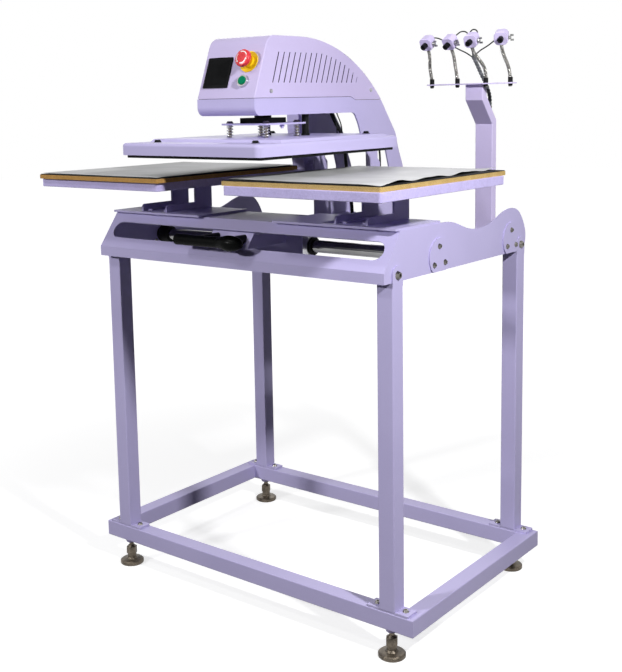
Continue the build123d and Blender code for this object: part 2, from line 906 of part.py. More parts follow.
with BuildPart() as spring_bolts:
    with BuildSketch(level(plate_under)):
        with Locations(spring_spots):
            Circle(9)
    extrude(amount=5.5, taper=30)
    with BuildSketch(level(plate_under)):
        with Locations(spring_spots):
            Circle(4)
    extrude(amount=-(plate_under - heat_cover_top + 3))
write(spring_bolts, "spring_bolts")

# Coil springs between the plate and round pockets in the heat platen's cover: one round wire
# each, swept along arcs joined in pairs over every quarter turn
pocket_depth = 5.0
spring_wire = 2.2
spring_mean = 6.9
spring_turns = 6
spring_low = raised_top - pocket_depth + spring_wire / 2 + 0.05
spring_high = spring_plate_z - spring_wire / 2 - 0.05
quarters = int(spring_turns * 4)
rise = (spring_high - spring_low) / quarters


def helix_point(quarter):
    turn = quarter * pi / 2
    return Vector(spring_mean * cos(turn), spring_mean * sin(turn), spring_low + rise * quarter)


def helix_heading(quarter):
    turn = quarter * pi / 2
    return Vector(
        -spring_mean * sin(turn), spring_mean * cos(turn), rise / (pi / 2)
    ).normalized()


with BuildPart() as coil:
    with BuildLine() as wire_line:
        for quarter in range(quarters):
            start = helix_point(quarter)
            end = helix_point(quarter + 1)
            heading_in = helix_heading(quarter)
            heading_out = helix_heading(quarter + 1)
            chord = end - start
            both = heading_in + heading_out
            # equal reach d on both headings: |chord - d both| = 2 d
            qa = both.dot(both) - 4
            qb = -2 * chord.dot(both)
            qc = chord.dot(chord)
            reach = (-qb - sqrt(qb * qb - 4 * qa * qc)) / (2 * qa)
            middle = (start + heading_in * reach + end - heading_out * reach) * 0.5
            TangentArc(start, middle, tangent=heading_in)
            TangentArc(middle, end, tangent=(end - heading_out * reach - middle))
    with BuildSketch(Plane(origin=helix_point(0), z_dir=helix_heading(0))):
        Circle(spring_wire / 2)
    sweep(path=wire_line.wires()[0])

with BuildPart() as coil_springs:
    for spot_x, spot_y in spring_spots:
        with Locations((spot_x, stand_y + spot_y, 0)):
            add(coil.part)
write(coil_springs, "coil_springs")

# Guide posts on the heat platen, running in the tray's bushes
with BuildPart() as guide_posts:
    with BuildSketch(level(raised_top)):
        with Locations((-guide_x, guide_y), (guide_x, guide_y)):
            Circle(10.5)
    extrude(amount=5)
    with BuildSketch(level(raised_top)):
        with Locations((-guide_x, guide_y), (guide_x, guide_y)):
            Circle(guide_radius)
    extrude(amount=126)
write(guide_posts, "guide_posts")

# Heat platen: cover of thin sheet with a raised middle, open below, over the heater plate
cover_sheet = 2.0
cover_edge = 7.0
cover_mid_y = (heat_cover_front + heat_cover_back) / 2
cover_depth = heat_cover_back - heat_cover_front
raised_mid_y = (-365 + 44) / 2
cap_nut_spots = [
    (-146, -390, heat_cover_top),
    (146, -390, heat_cover_top),
    (-146, 24, raised_top),
    (146, 24, raised_top),
]
with BuildPart() as heat_cover:
    with BuildSketch(level(heat_cover_bottom)):
        with Locations((0, cover_mid_y)):
            RectangleRounded(2 * heat_cover_half_width, cover_depth, 14)
    extrude(amount=heat_cover_top - heat_cover_bottom)
    fillet(heat_cover.edges().group_by(Axis.Z)[-1], radius=cover_edge)
    with BuildSketch(level(heat_cover_top)):
        with Locations((0, raised_mid_y)):
            Rectangle(390, 409)
    extrude(amount=raised_height, taper=45)
    with BuildSketch(level(heat_cover_bottom)):
        with Locations((0, cover_mid_y)):
            RectangleRounded(
                2 * (heat_cover_half_width - cover_sheet), cover_depth - 2 * cover_sheet, 12
            )
    extrude(amount=heat_cover_top - cover_edge - heat_cover_bottom, mode=Mode.SUBTRACT)
    with BuildSketch(level(heat_cover_top - cover_edge)):
        with Locations((0, cover_mid_y)):
            RectangleRounded(
                2 * (heat_cover_half_width - cover_edge), cover_depth - 2 * cover_edge, 7
            )
    extrude(amount=cover_edge - cover_sheet, mode=Mode.SUBTRACT)
    with BuildSketch(level(heat_cover_top - cover_sheet)):
        with Locations((0, raised_mid_y)):
            Rectangle(386, 405)
    extrude(amount=raised_height, taper=45, mode=Mode.SUBTRACT)
    with BuildSketch(level(raised_top)):
        with Locations(spring_spots):
            Circle(11.5)
    extrude(amount=-raised_height)
    with BuildSketch(level(raised_top)):
        with Locations(spring_spots):
            Circle(9.7)
    extrude(amount=-pocket_depth, mode=Mode.SUBTRACT)
    with BuildSketch(level(raised_top)):
        with Locations(spring_spots):
            Circle(4 + running)
        for spot_x, spot_y, spot_z in cap_nut_spots:
            with Locations((spot_x, spot_y)):
                Circle(3.2)
    extrude(amount=-14, mode=Mode.SUBTRACT)
write(heat_cover, "heat_cover")

with BuildPart() as heater_plate:
    with BuildSketch(level(heater_bottom)):
        with Locations((0, press_y)):
            RectangleRounded(platen_width, platen_depth, 6)
    extrude(amount=heater_thickness)
    chamfer(heater_plate.edges().group_by(Axis.Z)[0], length=1)
write(heater_plate, "heater_plate")

# Cap nuts with their studs, which stand on the heater plate
with BuildPart() as cap_nuts:
    for spot_x, spot_y, spot_z in cap_nut_spots:
        with BuildSketch(level(spot_z)):
            with Locations((spot_x, spot_y)):
                Circle(9)
        extrude(amount=1.5)
        with BuildSketch(level(spot_z + 1.5)):
            with Locations((spot_x, spot_y)):
                RegularPolygon(7.5, 6)
        extrude(amount=3)
        with BuildSketch(level(spot_z + 4.5)):
            with Locations((spot_x, spot_y)):
                Circle(6)
        extrude(amount=1.5, taper=30)
        with BuildSketch(level(spot_z)):
            with Locations((spot_x, spot_y)):
                Circle(3)
        extrude(amount=-(spot_z - heater_bottom - heater_thickness))
write(cap_nuts, "cap_nuts")

# Control box beside the left leg, on four welded studs, with its inlet and switch behind
box_left = -148.0
box_right = -110.0
box_back = 196.0
inlet_z = 985.0
switch_z = 1050.0
box_mid = (box_left + box_right) / 2
box_stud_spots = [(132, 962), (134, 1045), (120, 1150), (172, 1150)]
with BuildPart() as control_box:
    with BuildSketch(side(box_left)) as outline:
        Polygon(
            (88, 1195), (90, 1133), (118, 1000), (118, 945), (box_back, 945), (box_back, 1130), (172, 1195),
            align=None,
        )
        fillet(outline.vertices(), radius=9)
    extrude(amount=box_right - box_left)
    with BuildSketch(side(box_left + 2)):
        offset(outline.sketch_local, amount=-2)
    extrude(amount=box_right - box_left - 4, mode=Mode.SUBTRACT)
    with BuildSketch(side(box_right)):
        with Locations(box_stud_spots):
            Circle(5)
    extrude(amount=-box_right - head_half_width)
    with BuildSketch(front(box_back + 1)):
        with Locations((box_mid, inlet_z)):
            Rectangle(21, 28)
        with Locations((box_mid, switch_z)):
            Rectangle(13.6, 27.6)
    extrude(amount=4, mode=Mode.SUBTRACT)
write(control_box, "control_box")

# Mains inlet with three pins, and the frame of the power switch above it
with BuildPart() as mains_inlet:
    with BuildSketch(front(box_back)):
        with Locations((box_mid, (inlet_z + switch_z) / 2 + 1)):
            RectangleRounded(27, 104, 3)
        with Locations((box_mid, switch_z)):
            Rectangle(12.6, 26.6, mode=Mode.SUBTRACT)
        with Locations((box_mid, inlet_z)):
            Rectangle(16.5, 23, mode=Mode.SUBTRACT)
    extrude(amount=-2.5)
    with BuildSketch(front(box_back)):
        with Locations((box_mid, inlet_z)):
            Rectangle(20.5, 27.5)
    extrude(amount=22)
    with BuildSketch(front(box_back)):
        with Locations((box_mid, inlet_z)):
            Rectangle(16.5, 23)
    extrude(amount=18, mode=Mode.SUBTRACT)
    with BuildSketch(front(box_back - 18)):
        with Locations((box_mid, inlet_z + 7), (box_mid - 3.5, inlet_z - 5), (box_mid + 3.5, inlet_z - 5)):
            Rectangle(2, 4)
    extrude(amount=-15)
write(mains_inlet, "mains_inlet")

# Rocker of the power switch: it turns about the X axis through (rocker_y, switch_z)
rocker_y = 192.0
rocker_throw = 24.0
with BuildPart() as power_rocker:
    with BuildSketch(side(box_mid - 6)) as rocker_outline:
        with BuildSketch(mode=Mode.PRIVATE) as rocker_flat:
            Polygon((9, 10), (7, 0), (9, -10), (2, -9.5), (-4, 0), (2, 9.5), align=None)
        with Locations(Location((rocker_y, switch_z), -rocker_throw / 2)):
            add(rocker_flat.sketch)
    extrude(amount=12)
write(power_rocker, "power_rocker")

# Lamp post: rectangular tube bent forward, the crossbar welded on top of it
post_front = post_back - post_depth
post_lean_y = 52.0
rail_gap = post_front - rail_face_y
wrap_radius = 4.8
wrap_mouth = Vector(322, stand_y + 320, 1164)
wrap_heading = Vector(-0.05, 0.3, -1).normalized()
wrap_plane = Plane(origin=wrap_mouth, z_dir=wrap_heading)
with BuildPart() as laser_post:
    with BuildSketch(side(post_x - post_width / 2)) as post_outline:
        Polygon(
            (post_back, body_bottom),
            (post_front, body_bottom),
            (post_front, 1138),
            (post_front - post_lean_y, 1198),
            (post_front - post_lean_y, crossbar_z),
            (post_back - post_lean_y, crossbar_z),
            (post_back - post_lean_y, 1208),
            (post_back, 1148),
            align=None,
        )
        fillet(
            post_outline.vertices().filter_by(lambda v: 1130 < v.Z < 1210),
            radius=12,
        )
    extrude(amount=post_width)
    fillet(
        laser_post.edges().filter_by(
            lambda e: abs(abs(e.center().X - post_x) - post_width / 2) < 0.1
            and body_bottom + 1 < e.center().Z < crossbar_z - 1
        ),
        radius=2,
    )
    with BuildSketch(side(post_x - post_width / 2 + 2)):
        with BuildLine():
            FilletPolyline(
                (post_back - 2, body_bottom - 1),
                (post_back - 2, 1147.2),
                (post_back - 2 - post_lean_y, 1207.2),
                (post_back - 2 - post_lean_y, crossbar_z - 2),
                (post_front + 2 - post_lean_y, crossbar_z - 2),
                (post_front + 2 - post_lean_y, 1198.8),
                (post_front + 2, 1138.8),
                (post_front + 2, body_bottom - 1),
                (post_back - 2, body_bottom - 1),
                radius=1.5,
            )
        make_face()
    extrude(amount=post_width - 4, mode=Mode.SUBTRACT)
    with BuildSketch(front(rail_face_y)):
        with Locations((post_x, body_bottom + rail_height / 2)):
            Rectangle(post_width + 22, rail_height - 3)
    extrude(amount=-rail_gap)
    with BuildSketch(level(crossbar_z)):
        with Locations((296.5, crossbar_y)):
            RectangleRounded(237, 30, 4)
        with Locations((186, crossbar_y), (259, crossbar_y), (338, crossbar_y), (404, crossbar_y)):
            Circle(4, mode=Mode.SUBTRACT)
    extrude(amount=3)
    with BuildSketch(wrap_plane):
        Circle(wrap_radius + loose)
    extrude(amount=12, both=True, mode=Mode.SUBTRACT)
write(laser_post, "laser_post")

# Goosenecks with threaded lower ends, their ferrules and nuts, and the lamp heads
lamps = (
    (186, 174, 1341, (-0.02, -0.86, -0.5), -10),
    (259, 239, 1340, (-0.12, -0.82, -0.56), -6),
    (338, 300, 1343, (0.08, -0.9, -0.42), 6),
    (404, 382, 1346, (0.3, -0.87, -0.38), -4),
)
lamp_y = 258.0
bar_top = crossbar_z + 3
lamp_planes = []
for base_x, lamp_x, lamp_z, aim, bow in lamps:
    across_aim = Vector(-aim[1], aim[0], 0).normalized()
    lamp_planes.append(
        Plane(origin=(lamp_x, stand_y + lamp_y, lamp_z), x_dir=across_aim, z_dir=aim)
    )

with BuildPart() as goosenecks:
    for (base_x, lamp_x, lamp_z, aim, bow), head_plane in zip(lamps, lamp_planes):
        with BuildSketch(Plane(origin=(base_x, stand_y + crossbar_y, crossbar_z - 7))):
            Circle(3.9)
        extrude(amount=10)
        foot = Vector(base_x, stand_y + crossbar_y, bar_top)
        tip = head_plane.from_local_coords((0, -17, 0))
        with BuildLine() as neck_line:
            Spline(
                foot,
                Vector(
                    base_x + bow / 2 + (lamp_x - base_x) * 0.3,
                    (foot.Y + tip.Y) / 2,
                    (foot.Z + tip.Z) / 2,
                ),
                tip,
                tangents=((0, 0, 1), head_plane.y_dir),
            )
        with BuildSketch(Plane(origin=foot)):
            Circle(gooseneck_radius)
        sweep(path=neck_line.wires()[0])
write(goosenecks, "goosenecks")

with BuildPart() as ferrules:
    for base_x, lamp_x, lamp_z, aim, bow in lamps:
        with BuildSketch(Plane(origin=(base_x, stand_y + crossbar_y, bar_top))):
            Circle(5.8)
        extrude(amount=13)
        with BuildSketch(Plane(origin=(base_x, stand_y + crossbar_y, crossbar_z))):
            RegularPolygon(5.9, 6)
        extrude(amount=-5)
    add(goosenecks.part, mode=Mode.SUBTRACT)
write(ferrules, "ferrules")

with BuildPart() as laser_housings:
    for head_plane in lamp_planes:
        with BuildSketch(head_plane.offset(-18)) as block:
            Rectangle(34, 34)
            chamfer(block.vertices(), length=8)
        extrude(amount=24)
    chamfer(laser_housings.edges().filter_by(lambda e: e.length > 17), length=2)
    for head_plane in lamp_planes:
        with BuildSketch(head_plane.offset(2.5)):
            Circle(7)
        extrude(amount=12, mode=Mode.SUBTRACT)
        with BuildSketch(Plane(head_plane.origin, x_dir=head_plane.y_dir, z_dir=head_plane.x_dir)):
            Circle(2 + running)
        extrude(amount=20, mode=Mode.SUBTRACT)
write(laser_housings, "laser_housings")

with BuildPart() as lens_barrels:
    for head_plane in lamp_planes:
        with BuildSketch(head_plane.offset(2.5)):
            Circle(7)
        extrude(amount=17.5)
        with BuildSketch(head_plane.offset(20)):
            Circle(3)
        extrude(amount=-3, mode=Mode.SUBTRACT)
write(lens_barrels, "lens_barrels")

# Wing screws that hold each lamp head to its gooseneck; each turns about the head's X axis
for number, head_plane in enumerate(lamp_planes, start=1):
    screw_plane = Plane(head_plane.origin, x_dir=head_plane.y_dir, z_dir=head_plane.x_dir)
    with BuildPart() as wing_screw:
        with BuildSketch(screw_plane.offset(6)):
            Circle(2)
        extrude(amount=15)
        with BuildSketch(screw_plane.offset(18.5)):
            Circle(4.4)
        extrude(amount=5.5)
        with BuildSketch(screw_plane.offset(22)):
            Rectangle(16, 2.4)
            Circle(4, mode=Mode.SUBTRACT)
        extrude(amount=8)
    write(wing_screw, f"wing_screw_{number}")

# Cables: round cords of straight runs joined by tangent arcs


def cord_wire(points):
    """Lay lines and arcs through the points; each bend takes 0.45 of its shorter run."""
    trims = []
    for before, here, after in zip(points, points[1:], points[2:]):
        trims.append(0.45 * min((here - before).length, (after - here).length))
    begin = points[0]
    for index, trim in enumerate(trims):
        here = points[index + 1]
        into = (here - points[index]).normalized()
        out = (points[index + 2] - here).normalized()
        Line(begin, here - into * trim)
        TangentArc(here - into * trim, here + out * trim, tangent=into)
        begin = here + out * trim
    Line(begin, points[-1])


def bend_radii(points):
    """Radius of every bend that cord_wire lays."""
    radii = []
    for before, here, after in zip(points, points[1:], points[2:]):
        turn = radians((here - before).get_angle(after - here))
        trim = 0.45 * min((here - before).length, (after - here).length)
        radii.append(round(trim / tan(turn / 2), 1))
    return radii


def placed(points):
    return [Vector(x, stand_y + y, z) for x, y, z in points]


# Lamp cables: one from the back of each lamp head to the grey wrap that leads them into the post
lamp_cable_radius = 1.6
wrap_path = placed(
    [(288, 292, 1306), (297, 294, 1288), (307, 294, 1267), (317, 297, 1246), (324, 303, 1225), (326, 310, 1204)]
) + [wrap_mouth - wrap_heading * 18, wrap_mouth + wrap_heading * 3]
wrap_start = (wrap_path[1] - wrap_path[0]).normalized()
wrap_face = Plane(origin=wrap_path[0], x_dir=(0, 1, 0), z_dir=wrap_start)
lamp_routes = (
    [(180, 283, 1358), (194, 288, 1355), (212, 290, 1345), (232, 292, 1333), (252, 293, 1323), (271, 292, 1315)],
    [(245, 284, 1361), (255, 290, 1370), (268, 295, 1368), (276, 299, 1354), (280, 299, 1336), (283, 297, 1320)],
    [
        (301, 283.5, 1355.5), (302.2, 289, 1363.5), (296.7, 291.5, 1371), (287.3, 292, 1373),
        (279.6, 292.5, 1368.2), (276, 293, 1359), (277.5, 293.2, 1343), (284.5, 291, 1324),
    ],
    [(368, 284, 1354), (352, 288, 1345), (335, 291, 1334), (318, 294, 1326), (303, 295, 1319)],
)
mouth_spots = ((-2.0, -2.0), (2.0, -2.0), (-2.0, 2.0), (2.0, 2.0))
with BuildPart() as lamp_cables:
    for head_plane, route, (mouth_u, mouth_v) in zip(lamp_planes, lamp_routes, mouth_spots):
        mouth = wrap_face.from_local_coords((mouth_u, mouth_v, 0))
        begin = head_plane.from_local_coords((0, 2, -18))
        run = [begin] + placed(route) + [mouth]
        print("lamp cable bends", bend_radii(run))
        with BuildLine() as cable_line:
            cord_wire(run)
        with BuildSketch(Plane(origin=begin, z_dir=(run[1] - begin))):
            Circle(lamp_cable_radius)
        sweep(path=cable_line.wires()[0])
    print("wrap bends", bend_radii(wrap_path))
    with BuildLine() as wrap_line:
        cord_wire(wrap_path)
    with BuildSketch(wrap_face):
        Circle(wrap_radius)
    sweep(path=wrap_line.wires()[0])
write(lamp_cables, "lamp_cables")

# Trunk cables inside the arm: they run down between the side plates to the carriage
trunk_routes = (
    (
        4.5,
        [
            (10, 58, 1215), (11, 60, 1183), (18, 72, 1152), (27, 88, 1124), (26, 102, 1094), (21, 113, 1062),
            (18, 122, 1030), (17, 132, 997), (19, 137, 963), (18, 144, 930), (18, 146, carriage_top),
        ],
    ),
    (
        2.5,
        [
            (66, 165, 1190), (67, 172, 1160), (69, 182, 1129), (70, 191, 1097), (71, 197, 1064),
            (69, 200, 1032), (71, 199, 1000), (69, 201, 968), (71, 203, 936), (70, 202, carriage_top + 4),
        ],
    ),
)
with BuildPart() as trunk_cables:
    for cable_radius, route in trunk_routes:
        run = placed(route)
        print("trunk bends", bend_radii(run))
        with BuildLine() as cable_line:
            cord_wire(run)
        with BuildSketch(Plane(origin=run[-1], z_dir=(run[-2] - run[-1]))):
            Circle(cable_radius)
        sweep(path=cable_line.wires()[0])
write(trunk_cables, "trunk_cables")

# Heater leads: two thin cables that rise from the platen's cover into the arm
lead_routes = (
    [(34, 60), (33.5, 61), (30, 62), (25, 60), (22, 57), (21, 58), (20, 56), (21, 57)],
    [(48, 62), (47, 63), (42, 64), (35, 62), (30, 60), (28, 61), (27, 59), (28, 60)],
)
with BuildPart() as heater_leads:
    for route in lead_routes:
        run = placed([(x, y, heat_cover_top + 16.2 * step) for step, (x, y) in enumerate(route)])
        print("lead bends", bend_radii(run))
        with BuildLine() as cable_line:
            cord_wire(run)
        with BuildSketch(Plane(origin=run[0], z_dir=(run[1] - run[0]))):
            Circle(1.5)
        sweep(path=cable_line.wires()[0])
write(heater_leads, "heater_leads")
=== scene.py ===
from math import cos, pi, radians, sin

import bmesh
import bpy
from mathutils import Matrix, Vector


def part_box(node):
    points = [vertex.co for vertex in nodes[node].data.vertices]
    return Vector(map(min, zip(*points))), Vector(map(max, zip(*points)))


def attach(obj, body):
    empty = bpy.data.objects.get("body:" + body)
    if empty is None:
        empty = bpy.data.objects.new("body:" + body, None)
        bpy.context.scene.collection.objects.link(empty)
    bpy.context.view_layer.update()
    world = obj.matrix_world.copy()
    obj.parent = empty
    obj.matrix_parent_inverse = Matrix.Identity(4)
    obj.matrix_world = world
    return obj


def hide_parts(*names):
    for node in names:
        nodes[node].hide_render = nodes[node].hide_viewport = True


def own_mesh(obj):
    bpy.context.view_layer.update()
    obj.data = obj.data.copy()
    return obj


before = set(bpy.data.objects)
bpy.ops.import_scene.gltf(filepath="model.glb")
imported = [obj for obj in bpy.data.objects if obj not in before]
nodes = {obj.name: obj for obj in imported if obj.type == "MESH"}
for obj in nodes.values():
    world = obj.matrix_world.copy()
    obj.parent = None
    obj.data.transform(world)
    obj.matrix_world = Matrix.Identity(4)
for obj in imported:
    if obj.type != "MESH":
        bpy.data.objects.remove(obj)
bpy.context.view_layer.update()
scene = bpy.context.scene
scene.view_settings.view_transform = "Standard"


# Camera: it stands to the right of the machine at chest height and looks a little down,
# as the photographer did. Place, turn and lens were fitted to the frame's corners.
camera_data = bpy.data.cameras.new("camera")
camera_data.lens = 57.34
camera_data.sensor_width = 36.0
camera_data.shift_x = 0.048
camera_data.shift_y = -0.1241
camera = bpy.data.objects.new("camera", camera_data)
yaw, pitch, roll = radians(39.03), radians(7.99), radians(-1.18)
ahead = Vector((-sin(yaw) * cos(pitch), cos(yaw) * cos(pitch), -sin(pitch)))
level_right = Vector((cos(yaw), sin(yaw), 0))
level_up = level_right.cross(ahead)
camera_right = cos(roll) * level_right + sin(roll) * level_up
camera_up = -sin(roll) * level_right + cos(roll) * level_up
turn = Matrix((camera_right, camera_up, -ahead)).transposed().to_4x4()
camera.matrix_world = Matrix.Translation((1.6118, -2.0668, 1.2027)) @ turn
scene.collection.objects.link(camera)
scene.camera = camera


# Studio: a plain pale floor, white behind, one lamp close by on the right, two further off in
# front, low and high, and a weak one from behind. The floor keeps the shadow near the machine
# and turns white further out.
def background_rays(tree):
    """The value 1 for rays that see the background itself, and 0 for those that light things."""
    light_path = tree.nodes.new("ShaderNodeLightPath")
    either = tree.nodes.new("ShaderNodeMath")
    either.operation = "MAXIMUM"
    tree.links.new(light_path.outputs["Is Camera Ray"], either.inputs[0])
    tree.links.new(light_path.outputs["Is Glossy Ray"], either.inputs[1])
    all_three = tree.nodes.new("ShaderNodeMath")
    all_three.operation = "MAXIMUM"
    tree.links.new(either.outputs[0], all_three.inputs[0])
    tree.links.new(light_path.outputs["Is Transmission Ray"], all_three.inputs[1])
    return all_three.outputs[0]


floor_mesh = bpy.data.meshes.new("studio_floor")
shape = bmesh.new()
bmesh.ops.create_circle(shape, cap_ends=True, segments=128, radius=16)
shape.to_mesh(floor_mesh)
shape.free()
floor = bpy.data.objects.new("studio_floor", floor_mesh)
scene.collection.objects.link(floor)
floor_paint = bpy.data.materials.new("studio_floor")
floor_paint.use_nodes = True
tree = floor_paint.node_tree
tree.nodes.clear()
floor_glow = tree.nodes.new("ShaderNodeEmission")
floor_glow.inputs["Color"].default_value = (1, 1, 1, 1)
floor_place = tree.nodes.new("ShaderNodeTexCoord")
floor_reach = tree.nodes.new("ShaderNodeVectorMath")
floor_reach.operation = "LENGTH"
floor_rise = tree.nodes.new("ShaderNodeMapRange")
floor_rise.interpolation_type = "SMOOTHSTEP"
floor_rise.inputs["From Min"].default_value = 0.8
floor_rise.inputs["From Max"].default_value = 3.0
floor_rise.inputs["To Min"].default_value = 0.74
floor_rise.inputs["To Max"].default_value = 1.0
tree.links.new(floor_place.outputs["Object"], floor_reach.inputs[0])
tree.links.new(floor_reach.outputs["Value"], floor_rise.inputs["Value"])
tree.links.new(floor_rise.outputs[0], floor_glow.inputs["Strength"])
floor_pale = tree.nodes.new("ShaderNodeBsdfDiffuse")
floor_pale.inputs["Color"].default_value = (0.5, 0.5, 0.5, 1)
floor_seen = tree.nodes.new("ShaderNodeAddShader")
floor_grey = tree.nodes.new("ShaderNodeBsdfDiffuse")
floor_grey.inputs["Color"].default_value = (0.07, 0.07, 0.078, 1)
floor_mix = tree.nodes.new("ShaderNodeMixShader")
floor_out = tree.nodes.new("ShaderNodeOutputMaterial")
tree.links.new(floor_glow.outputs[0], floor_seen.inputs[0])
tree.links.new(floor_pale.outputs[0], floor_seen.inputs[1])
tree.links.new(background_rays(tree), floor_mix.inputs["Fac"])
tree.links.new(floor_grey.outputs[0], floor_mix.inputs[1])
tree.links.new(floor_seen.outputs[0], floor_mix.inputs[2])
tree.links.new(floor_mix.outputs[0], floor_out.inputs["Surface"])
floor_mesh.materials.append(floor_paint)

studio_world = bpy.data.worlds.new("studio")
studio_world.use_nodes = True
scene.world = studio_world
tree = studio_world.node_tree
tree.nodes.clear()
sky_coordinates = tree.nodes.new("ShaderNodeTexCoord")
sky_split = tree.nodes.new("ShaderNodeSeparateXYZ")
sky_ramp = tree.nodes.new("ShaderNodeValToRGB")
sky_ramp.color_ramp.elements[0].position = 0.30
sky_ramp.color_ramp.elements[0].color = (0.02, 0.02, 0.023, 1)
sky_ramp.color_ramp.elements[1].position = 0.95
sky_ramp.color_ramp.elements[1].color = (0.10, 0.10, 0.105, 1)
sky_height = tree.nodes.new("ShaderNodeMapRange")
sky_height.inputs["From Min"].default_value = -1
sky_height.inputs["From Max"].default_value = 1
sky_light = tree.nodes.new("ShaderNodeBackground")
sky_white = tree.nodes.new("ShaderNodeBackground")
sky_white.inputs["Color"].default_value = (1, 1, 1, 1)
sky_mix = tree.nodes.new("ShaderNodeMixShader")
sky_out = tree.nodes.new("ShaderNodeOutputWorld")
tree.links.new(sky_coordinates.outputs["Generated"], sky_split.inputs[0])
tree.links.new(sky_split.outputs["Z"], sky_height.inputs["Value"])
tree.links.new(sky_height.outputs[0], sky_ramp.inputs["Fac"])
tree.links.new(sky_ramp.outputs["Color"], sky_light.inputs["Color"])
tree.links.new(background_rays(tree), sky_mix.inputs["Fac"])
tree.links.new(sky_light.outputs[0], sky_mix.inputs[1])
tree.links.new(sky_white.outputs[0], sky_mix.inputs[2])
tree.links.new(sky_mix.outputs[0], sky_out.inputs["Surface"])

for lamp_name, lamp_place, lamp_size, lamp_power in (
    ("right_lamp", (1.9, -0.70, 1.98), 0.13, 51.0),
    ("front_lamp", (-1.45, -3.2, 1.98), 0.3, 60.0),
    ("high_lamp", (-1.0, -2.5, 3.4), 0.16, 19.0),
    ("back_lamp", (-2.2, 3.2, 2.8), 2.0, 20.0),
):
    lamp_data = bpy.data.lights.new(lamp_name, "AREA")
    lamp_data.shape = "SQUARE"
    lamp_data.size = lamp_size
    lamp_data.energy = lamp_power
    lamp = bpy.data.objects.new(lamp_name, lamp_data)
    lamp.location = lamp_place
    lamp.rotation_euler = (Vector((0, 0, 0.75)) - lamp.location).to_track_quat("-Z", "Y").to_euler()
    scene.collection.objects.link(lamp)


# Lower frame and legs: 40 mm square tube, welded and powder coated in satin lavender. The coat
# has a fine orange peel and a slow drift of shade. The same coat is on every sheet part above.
surface_grain = bpy.data.node_groups.new("surface_grain", "ShaderNodeTree")
for socket_name, start_value in (("Grain Scale", 500.0), ("Drift Scale", 5.0)):
    surface_grain.interface.new_socket(
        socket_name, in_out="INPUT", socket_type="NodeSocketFloat"
    ).default_value = start_value
for socket_name in ("Grain", "Drift", "Relief"):
    surface_grain.interface.new_socket(socket_name, in_out="OUTPUT", socket_type="NodeSocketFloat")
grain_in = surface_grain.nodes.new("NodeGroupInput")
grain_out = surface_grain.nodes.new("NodeGroupOutput")
grain_place = surface_grain.nodes.new("ShaderNodeTexCoord")
grain_noise = surface_grain.nodes.new("ShaderNodeTexNoise")
grain_noise.inputs["Detail"].default_value = 3
drift_noise = surface_grain.nodes.new("ShaderNodeTexNoise")
drift_noise.inputs["Detail"].default_value = 4
relief_sum = surface_grain.nodes.new("ShaderNodeMath")
relief_sum.operation = "MULTIPLY_ADD"
relief_sum.inputs[1].default_value = 0.35
surface_grain.links.new(grain_place.outputs["Object"], grain_noise.inputs["Vector"])
surface_grain.links.new(grain_place.outputs["Object"], drift_noise.inputs["Vector"])
surface_grain.links.new(grain_in.outputs["Grain Scale"], grain_noise.inputs["Scale"])
surface_grain.links.new(grain_in.outputs["Drift Scale"], drift_noise.inputs["Scale"])
surface_grain.links.new(drift_noise.outputs["Fac"], relief_sum.inputs[0])
surface_grain.links.new(grain_noise.outputs["Fac"], relief_sum.inputs[2])
surface_grain.links.new(grain_noise.outputs["Fac"], grain_out.inputs["Grain"])
surface_grain.links.new(drift_noise.outputs["Fac"], grain_out.inputs["Drift"])
surface_grain.links.new(relief_sum.outputs[0], grain_out.inputs["Relief"])


def make_finish(
    name,
    deep,
    tone,
    gloss,
    grain_scale=600.0,
    drift_scale=5.0,
    relief=0.25,
    relief_mm=0.05,
    speckle=0.35,
    metal=0.0,
    coat=0.0,
    shine=0.5,
):
    """A surface between two tones, with its roughness and relief from the same grain."""
    material = bpy.data.materials.new(name)
    material.use_nodes = True
    tree = material.node_tree
    shader = tree.nodes["Principled BSDF"]
    grain = tree.nodes.new("ShaderNodeGroup")
    grain.node_tree = surface_grain
    grain.inputs["Grain Scale"].default_value = grain_scale
    grain.inputs["Drift Scale"].default_value = drift_scale
    blend = tree.nodes.new("ShaderNodeMix")
    blend.data_type = "FLOAT"
    blend.inputs[0].default_value = speckle
    tree.links.new(grain.outputs["Drift"], blend.inputs[2])
    tree.links.new(grain.outputs["Grain"], blend.inputs[3])
    tones = tree.nodes.new("ShaderNodeValToRGB")
    tones.name = "tones"
    tones.color_ramp.elements[0].position = 0.36
    tones.color_ramp.elements[0].color = (*deep, 1)
    tones.color_ramp.elements[1].position = 0.64
    tones.color_ramp.elements[1].color = (*tone, 1)
    tree.links.new(blend.outputs[0], tones.inputs["Fac"])
    tree.links.new(tones.outputs["Color"], shader.inputs["Base Color"])
    sheen_range = tree.nodes.new("ShaderNodeMapRange")
    sheen_range.inputs["From Min"].default_value = 0.3
    sheen_range.inputs["From Max"].default_value = 0.7
    sheen_range.inputs["To Min"].default_value = gloss[0]
    sheen_range.inputs["To Max"].default_value = gloss[1]
    tree.links.new(grain.outputs["Grain"], sheen_range.inputs["Value"])
    tree.links.new(sheen_range.outputs[0], shader.inputs["Roughness"])
    bump = tree.nodes.new("ShaderNodeBump")
    bump.inputs["Strength"].default_value = relief
    bump.inputs["Distance"].default_value = relief_mm / 1000
    tree.links.new(grain.outputs["Relief"], bump.inputs["Height"])
    tree.links.new(bump.outputs[0], shader.inputs["Normal"])
    shader.inputs["Metallic"].default_value = metal
    shader.inputs["Coat Weight"].default_value = coat
    shader.inputs["Coat Roughness"].default_value = 0.12
    shader.inputs["Specular IOR Level"].default_value = shine
    return material


def dress(material, *names):
    """Give CAD nodes this finish in every slot of theirs."""
    for name in names:
        for slot in nodes[name].material_slots:
            slot.material = material


